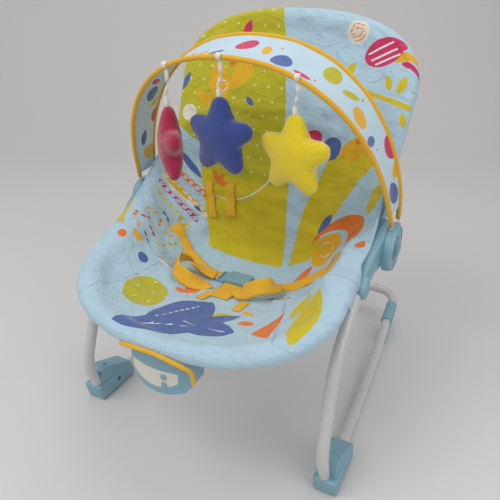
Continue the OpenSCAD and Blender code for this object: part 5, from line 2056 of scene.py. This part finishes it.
@dataclass
class Harness:
    """Golden webbing: waist, crotch and shoulder straps, their curled free ends and two tabs."""

    cover: bpy.types.Object
    back: LoopTube
    thickness: float = 0.0015
    steps: int = 12
    # Height of the webbing's middle over the cloth that it lies on
    clear: float = 0.0016
    clear_back: float = 0.0018
    # Height that the cloth is felt for from, and the pan's usual height
    above: float = 0.40
    pan_z: float = 0.24

    def __post_init__(self) -> None:
        """Keep the cover's faces for laying straps on."""
        data = self.cover.data
        self.tree = BVHTree.FromPolygons([v.co for v in data.vertices],
                                         [tuple(p.vertices) for p in data.polygons])

    def ground(self, x: float, y: float) -> float:
        """Measure the height of the cover's upper face.

        Args:
            x: place across the seat.
            y: place along the seat.

        Returns:
            Its height, or the pan's usual height where there is no cloth.
        """
        hit = self.tree.ray_cast(Vector((x, y, self.above)), Vector((0.0, 0.0, -1.0)))[0]
        return self.pan_z if hit is None else hit.z

    def lay(self, points: Sequence[Sequence[float]]) -> list[Vector]:
        """Run a path over the cover.

        Args:
            points: X, Y and height above the cloth of each point.

        Returns:
            The path.
        """
        return [Vector((p.x, p.y, self.ground(p.x, p.y) + self.clear + max(0.0, p.z)))
                for p in eased(points, self.steps)]

    def against(self, x: float, s: float) -> Vector:
        """Find the point just in front of the back's face.

        Args:
            x: place across the back.
            s: distance up the back loop's plane, less than 0 below the hub.

        Returns:
            The point.
        """
        far = 0.2
        start = self.back.at(x, s, far)
        hit = self.tree.ray_cast(start, -self.back.normal)[0]
        face = self.back.at(x, s) if hit is None else hit
        return face + self.back.normal * self.clear_back

    def strap(self, name: str, path: list[Vector], finish: bpy.types.Material,
              replaced: Sequence[str] = (), width: float = 0.025, lean: float = 0.0,
              facing: Vector = Vector((0.0, 0.0, 1.0))) -> None:
        """Sew one strap along a path and let it ride on the frame.

        Args:
            name: name of the new piece.
            path: points that its middle follows.
            finish: its webbing.
            replaced: CAD nodes that it stands for.
            width: full width.
            lean: turn about its length in the middle of a curl, in degrees.
            facing: direction that its face looks in.
        """
        last = len(path) - 1
        sides = []
        for i in range(len(path)):
            ahead = path[min(last, i + 1)] - path[max(0, i - 1)]
            side = ahead.cross(facing)
            if side.length < 0.25 * ahead.length and sides:
                side = sides[-1].copy()
            if sides and side.dot(sides[-1]) < 0:
                side = -side
            sides.append(side.normalized())
        for i, side in enumerate(sides):
            ahead = (path[min(last, i + 1)] - path[max(0, i - 1)]).normalized()
            turn = math.radians(lean) * smoothstep(0.1, 0.45, i / last) * (
                1.0 - smoothstep(0.7, 0.98, i / last))
            sides[i] = Matrix.Rotation(turn, 3, ahead) @ side
        strap = sweep_strip(name, path, sides, lambda share: width)
        strap.data.materials.append(finish)
        thicken(strap, self.thickness, 0.0)
        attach(strap, "frame")
        if replaced:
            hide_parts(*replaced)

    def build(self, finishes: Finishes) -> None:
        """Lay every strap.

        Args:
            finishes: makes the webbing.
        """
        gold = finishes.cloth("webbing", (0.93, 0.70, 0.10), thread=0.0013, thread_share=0.8,
                              roughness=0.62, sheen=0.2, crease_depth=0.0007)
        for side, name in ((-1, "left"), (1, "right")):
            path = self.lay([(side * 0.152, -0.030, 0.0), (side * 0.125, -0.040, 0.001),
                             (side * 0.095, -0.052, 0.002), (side * 0.065, -0.062, 0.003),
                             (side * 0.048, -0.066, 0.004), (side * 0.037, -0.066, 0.0045)])
            self.strap(f"waist_webbing_{name}", path, gold, [f"waist_strap_{name}"])
        path = self.lay([(0.0, -0.140, 0.0), (0.0, -0.128, 0.0005), (0.0, -0.110, 0.0015),
                         (0.0, -0.096, 0.003), (0.0, -0.0845, 0.004)])
        self.strap("crotch_webbing", path, gold, ["crotch_strap"], 0.035)
        left = self.lay([(-0.042, -0.074, 0.004), (-0.062, -0.078, 0.010),
                         (-0.084, -0.088, 0.022), (-0.092, -0.108, 0.027),
                         (-0.082, -0.132, 0.022), (-0.058, -0.134, 0.012),
                         (-0.042, -0.122, 0.004), (-0.032, -0.108, 0.002)])
        self.strap("webbing_tail_left", left, gold, lean=62.0)
        right = self.lay([(0.044, -0.072, 0.005), (0.068, -0.076, 0.012),
                          (0.084, -0.098, 0.022), (0.070, -0.122, 0.026),
                          (0.044, -0.126, 0.016), (0.026, -0.114, 0.008),
                          (0.016, -0.098, 0.006)])
        self.strap("webbing_tail_right", right, gold, lean=-62.0)
        for name, x, y in (("left", -0.020, -0.146), ("right", 0.047, -0.150)):
            tab = self.lay([(x, y - 0.016, 0.0), (x + 0.001, y, 0.0006),
                            (x + 0.002, y + 0.016, 0.0)])
            self.strap(f"webbing_tab_{name}", tab, gold, width=0.013)
        outward = Vector((0.0, -1.0, 0.3))
        for name, x, step, s, count, width in (
                ("inner", -0.078, 0.0012, 0.036, 11, 0.022),
                ("outer", -0.116, 0.0016, 0.034, 12, 0.015)):
            down = [self.against(x + step * k, s - 0.006 * k) for k in range(count)]
            self.strap(f"shoulder_webbing_{name}", down, gold, facing=outward, width=width)
        log.info("harness laid")


# ---- vibration unit --------------------------------------------------------------------------


@dataclass
class UnitBinding:
    """The golden binding that edges the cover over the vibration unit."""

    radius: float = 0.0032
    # X, and the places behind the seat tube's front and over the unit's top
    edge: tuple[tuple[float, float, float], ...] = (
        (-0.050, 0.0, -0.007), (-0.038, -0.0035, -0.003), (-0.020, -0.0057, -0.0005),
        (0.007, -0.0063, 0.001), (0.034, -0.0055, -0.003), (0.052, -0.0025, -0.009),
        (0.0605, 0.0025, -0.017), (0.0620, 0.0055, -0.028), (0.0610, 0.0075, -0.040))

    def build(self, finishes: Finishes) -> None:
        """Sew the binding to the front edge of the cover.

        Args:
            finishes: makes its cloth.
        """
        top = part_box("unit_rear_shell")[1][2]
        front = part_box("seat_tube")[0][1]
        path = eased([(x, front + y, top + z) for x, y, z in self.edge], 8)
        binding = sweep_round("front_binding", path, lambda share: self.radius, 12)
        binding.data.materials.append(finishes.trim("binding_cotton"))
        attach(binding, "frame")


# ---- studio ----------------------------------------------------------------------------------


@dataclass
class Studio:
    """Pale floor that sweeps up behind the seat, soft lamps and the camera."""

    lens: float = 38.2
    place: tuple[float, float, float] = (0.3702, -0.7623, 0.7094)
    right: tuple[float, float, float] = (0.89119, 0.45351, 0.01057)
    down: tuple[float, float, float] = (0.21649, -0.40469, -0.88846)
    floor_colour: Colour = (0.86, 0.85, 0.84)
    # The floor runs level to here, then rises in a curve of this radius to the wall
    floor_ahead: tuple[float, float, float] = (-0.4373, 0.8993, 0.0)
    level: float = 1.4
    curve_r: float = 1.2
    curve_steps: int = 16
    floor_half: float = 6.0
    aim: tuple[float, float, float] = (0.0, -0.02, 0.30)

    def build(self) -> None:
        """Place the floor, the lamps, the world and the camera."""
        self._floor()
        self._world()
        self._lamp("key", (-0.9, -1.5, 2.3), 1.6, 26.0)
        self._lamp("fill", (1.8, -0.9, 1.5), 1.4, 11.0)
        self._lamp("top", (0.1, 0.5, 2.6), 1.8, 14.0)
        self._camera()

    def _floor(self) -> None:
        """Lay the floor with its curve and its wall."""
        ahead = Vector(self.floor_ahead)
        side = Vector((ahead.y, -ahead.x, 0.0))
        r = self.curve_r
        turns = [math.pi / 2 * k / self.curve_steps for k in range(1, self.curve_steps + 1)]
        profile = [(-5.0, 0.0), (self.level, 0.0)]
        profile += [(self.level + r * math.sin(a), r - r * math.cos(a)) for a in turns]
        profile.append((self.level + r, 5.0))
        across = (-self.floor_half, 0.0, self.floor_half)
        floor = sheet("floor", [
            ([ahead * d + side * w + Vector((0.0, 0.0, z)) for w in across], [(0.0, 0.0)] * 3)
            for d, z in profile])
        material, hand, shader = start_material("floor")
        clouds = hand.clouds(hand.add("ShaderNodeTexCoord").outputs["Object"], 3.0)
        low = linear(tuple(c * 0.985 for c in self.floor_colour))
        hand.feed(shader.inputs["Base Color"],
                  hand.blend(clouds, low, linear(self.floor_colour)))
        shader.inputs["Roughness"].default_value = 0.6
        floor.data.materials.append(material)

    def _world(self) -> None:
        """Set a plain pale surrounding light."""
        world = bpy.data.worlds.new("studio")
        bpy.context.scene.world = world
        world.use_nodes = True
        hand = Nodes(world.node_tree)
        background = world.node_tree.nodes["Background"]
        rays = hand.add("ShaderNodeLightPath")
        seen = hand.math("MAXIMUM", rays.outputs["Is Camera Ray"], rays.outputs["Is Glossy Ray"])
        seen = hand.math("MAXIMUM", seen, rays.outputs["Is Transmission Ray"])
        background.inputs["Color"].default_value = (0.95, 0.97, 1.0, 1.0)
        hand.feed(background.inputs["Strength"], hand.span(seen, 0.0, 1.0, 0.42, 0.80))

    def _lamp(self, name: str, at: tuple[float, float, float], size: float,
              watts: float) -> None:
        """Hang a soft square lamp that looks at the seat.

        Args:
            name: the lamp's name.
            at: its place.
            size: its side.
            watts: its power.
        """
        data = bpy.data.lights.new(name, "AREA")
        data.size = size
        data.energy = watts
        lamp = bpy.data.objects.new(name, data)
        lamp.location = at
        aim = Vector(self.aim) - Vector(at)
        lamp.rotation_euler = aim.to_track_quat("-Z", "Y").to_euler()
        bpy.context.scene.collection.objects.link(lamp)

    def _camera(self) -> None:
        """Stand the camera where the seat is seen from its front right."""
        data = bpy.data.cameras.new("camera")
        data.lens = self.lens
        data.sensor_width = 36.0
        camera = bpy.data.objects.new("camera", data)
        right, up = Vector(self.right), -Vector(self.down)
        back = right.cross(up)
        turn = Matrix((right, up, back)).transposed().to_4x4()
        camera.matrix_world = Matrix.Translation(Vector(self.place)) @ turn
        bpy.context.scene.collection.objects.link(camera)
        bpy.context.scene.camera = camera


# ---- assembly --------------------------------------------------------------------------------


def dress_frame(slots: dict[str, bpy.types.Material]) -> None:
    """Give each carried-over piece of the frame the finish of its slot.

    Args:
        slots: a material for each slot name.
    """
    for part in frame["record"]["subparts"]:
        material = slots.get(part["material_slot"])
        if material is None:
            continue
        data = frame["nodes"][part["node"]].data
        data.materials.clear()
        data.materials.append(material)


def main() -> None:
    """Build the whole seat in order."""
    logging.basicConfig(level=logging.INFO, format="%(message)s")
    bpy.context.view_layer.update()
    bpy.context.scene.view_settings.view_transform = "Standard"
    finishes = Finishes(Effects())
    dress_frame(finishes.slots())
    back = back_loop()
    cover = SeatCover(seat_loop(), back).build(finishes)
    Canopy(Vector((0.0, 0.0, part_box("hub_caps")[0][2] + 0.018))).build(finishes)
    for toy in (StarToy("left", "plush_magenta", (0.66, 0.09, 0.25), -47.0),
                StarToy("middle", "plush_navy", (0.17, 0.25, 0.52), -10.0),
                StarToy("right", "plush_yellow", (0.90, 0.79, 0.08), -12.0)):
        toy.build(finishes)
    Harness(cover, back).build(finishes)
    UnitBinding().build(finishes)
    Studio().build()


if __name__ == "__main__":
    main()
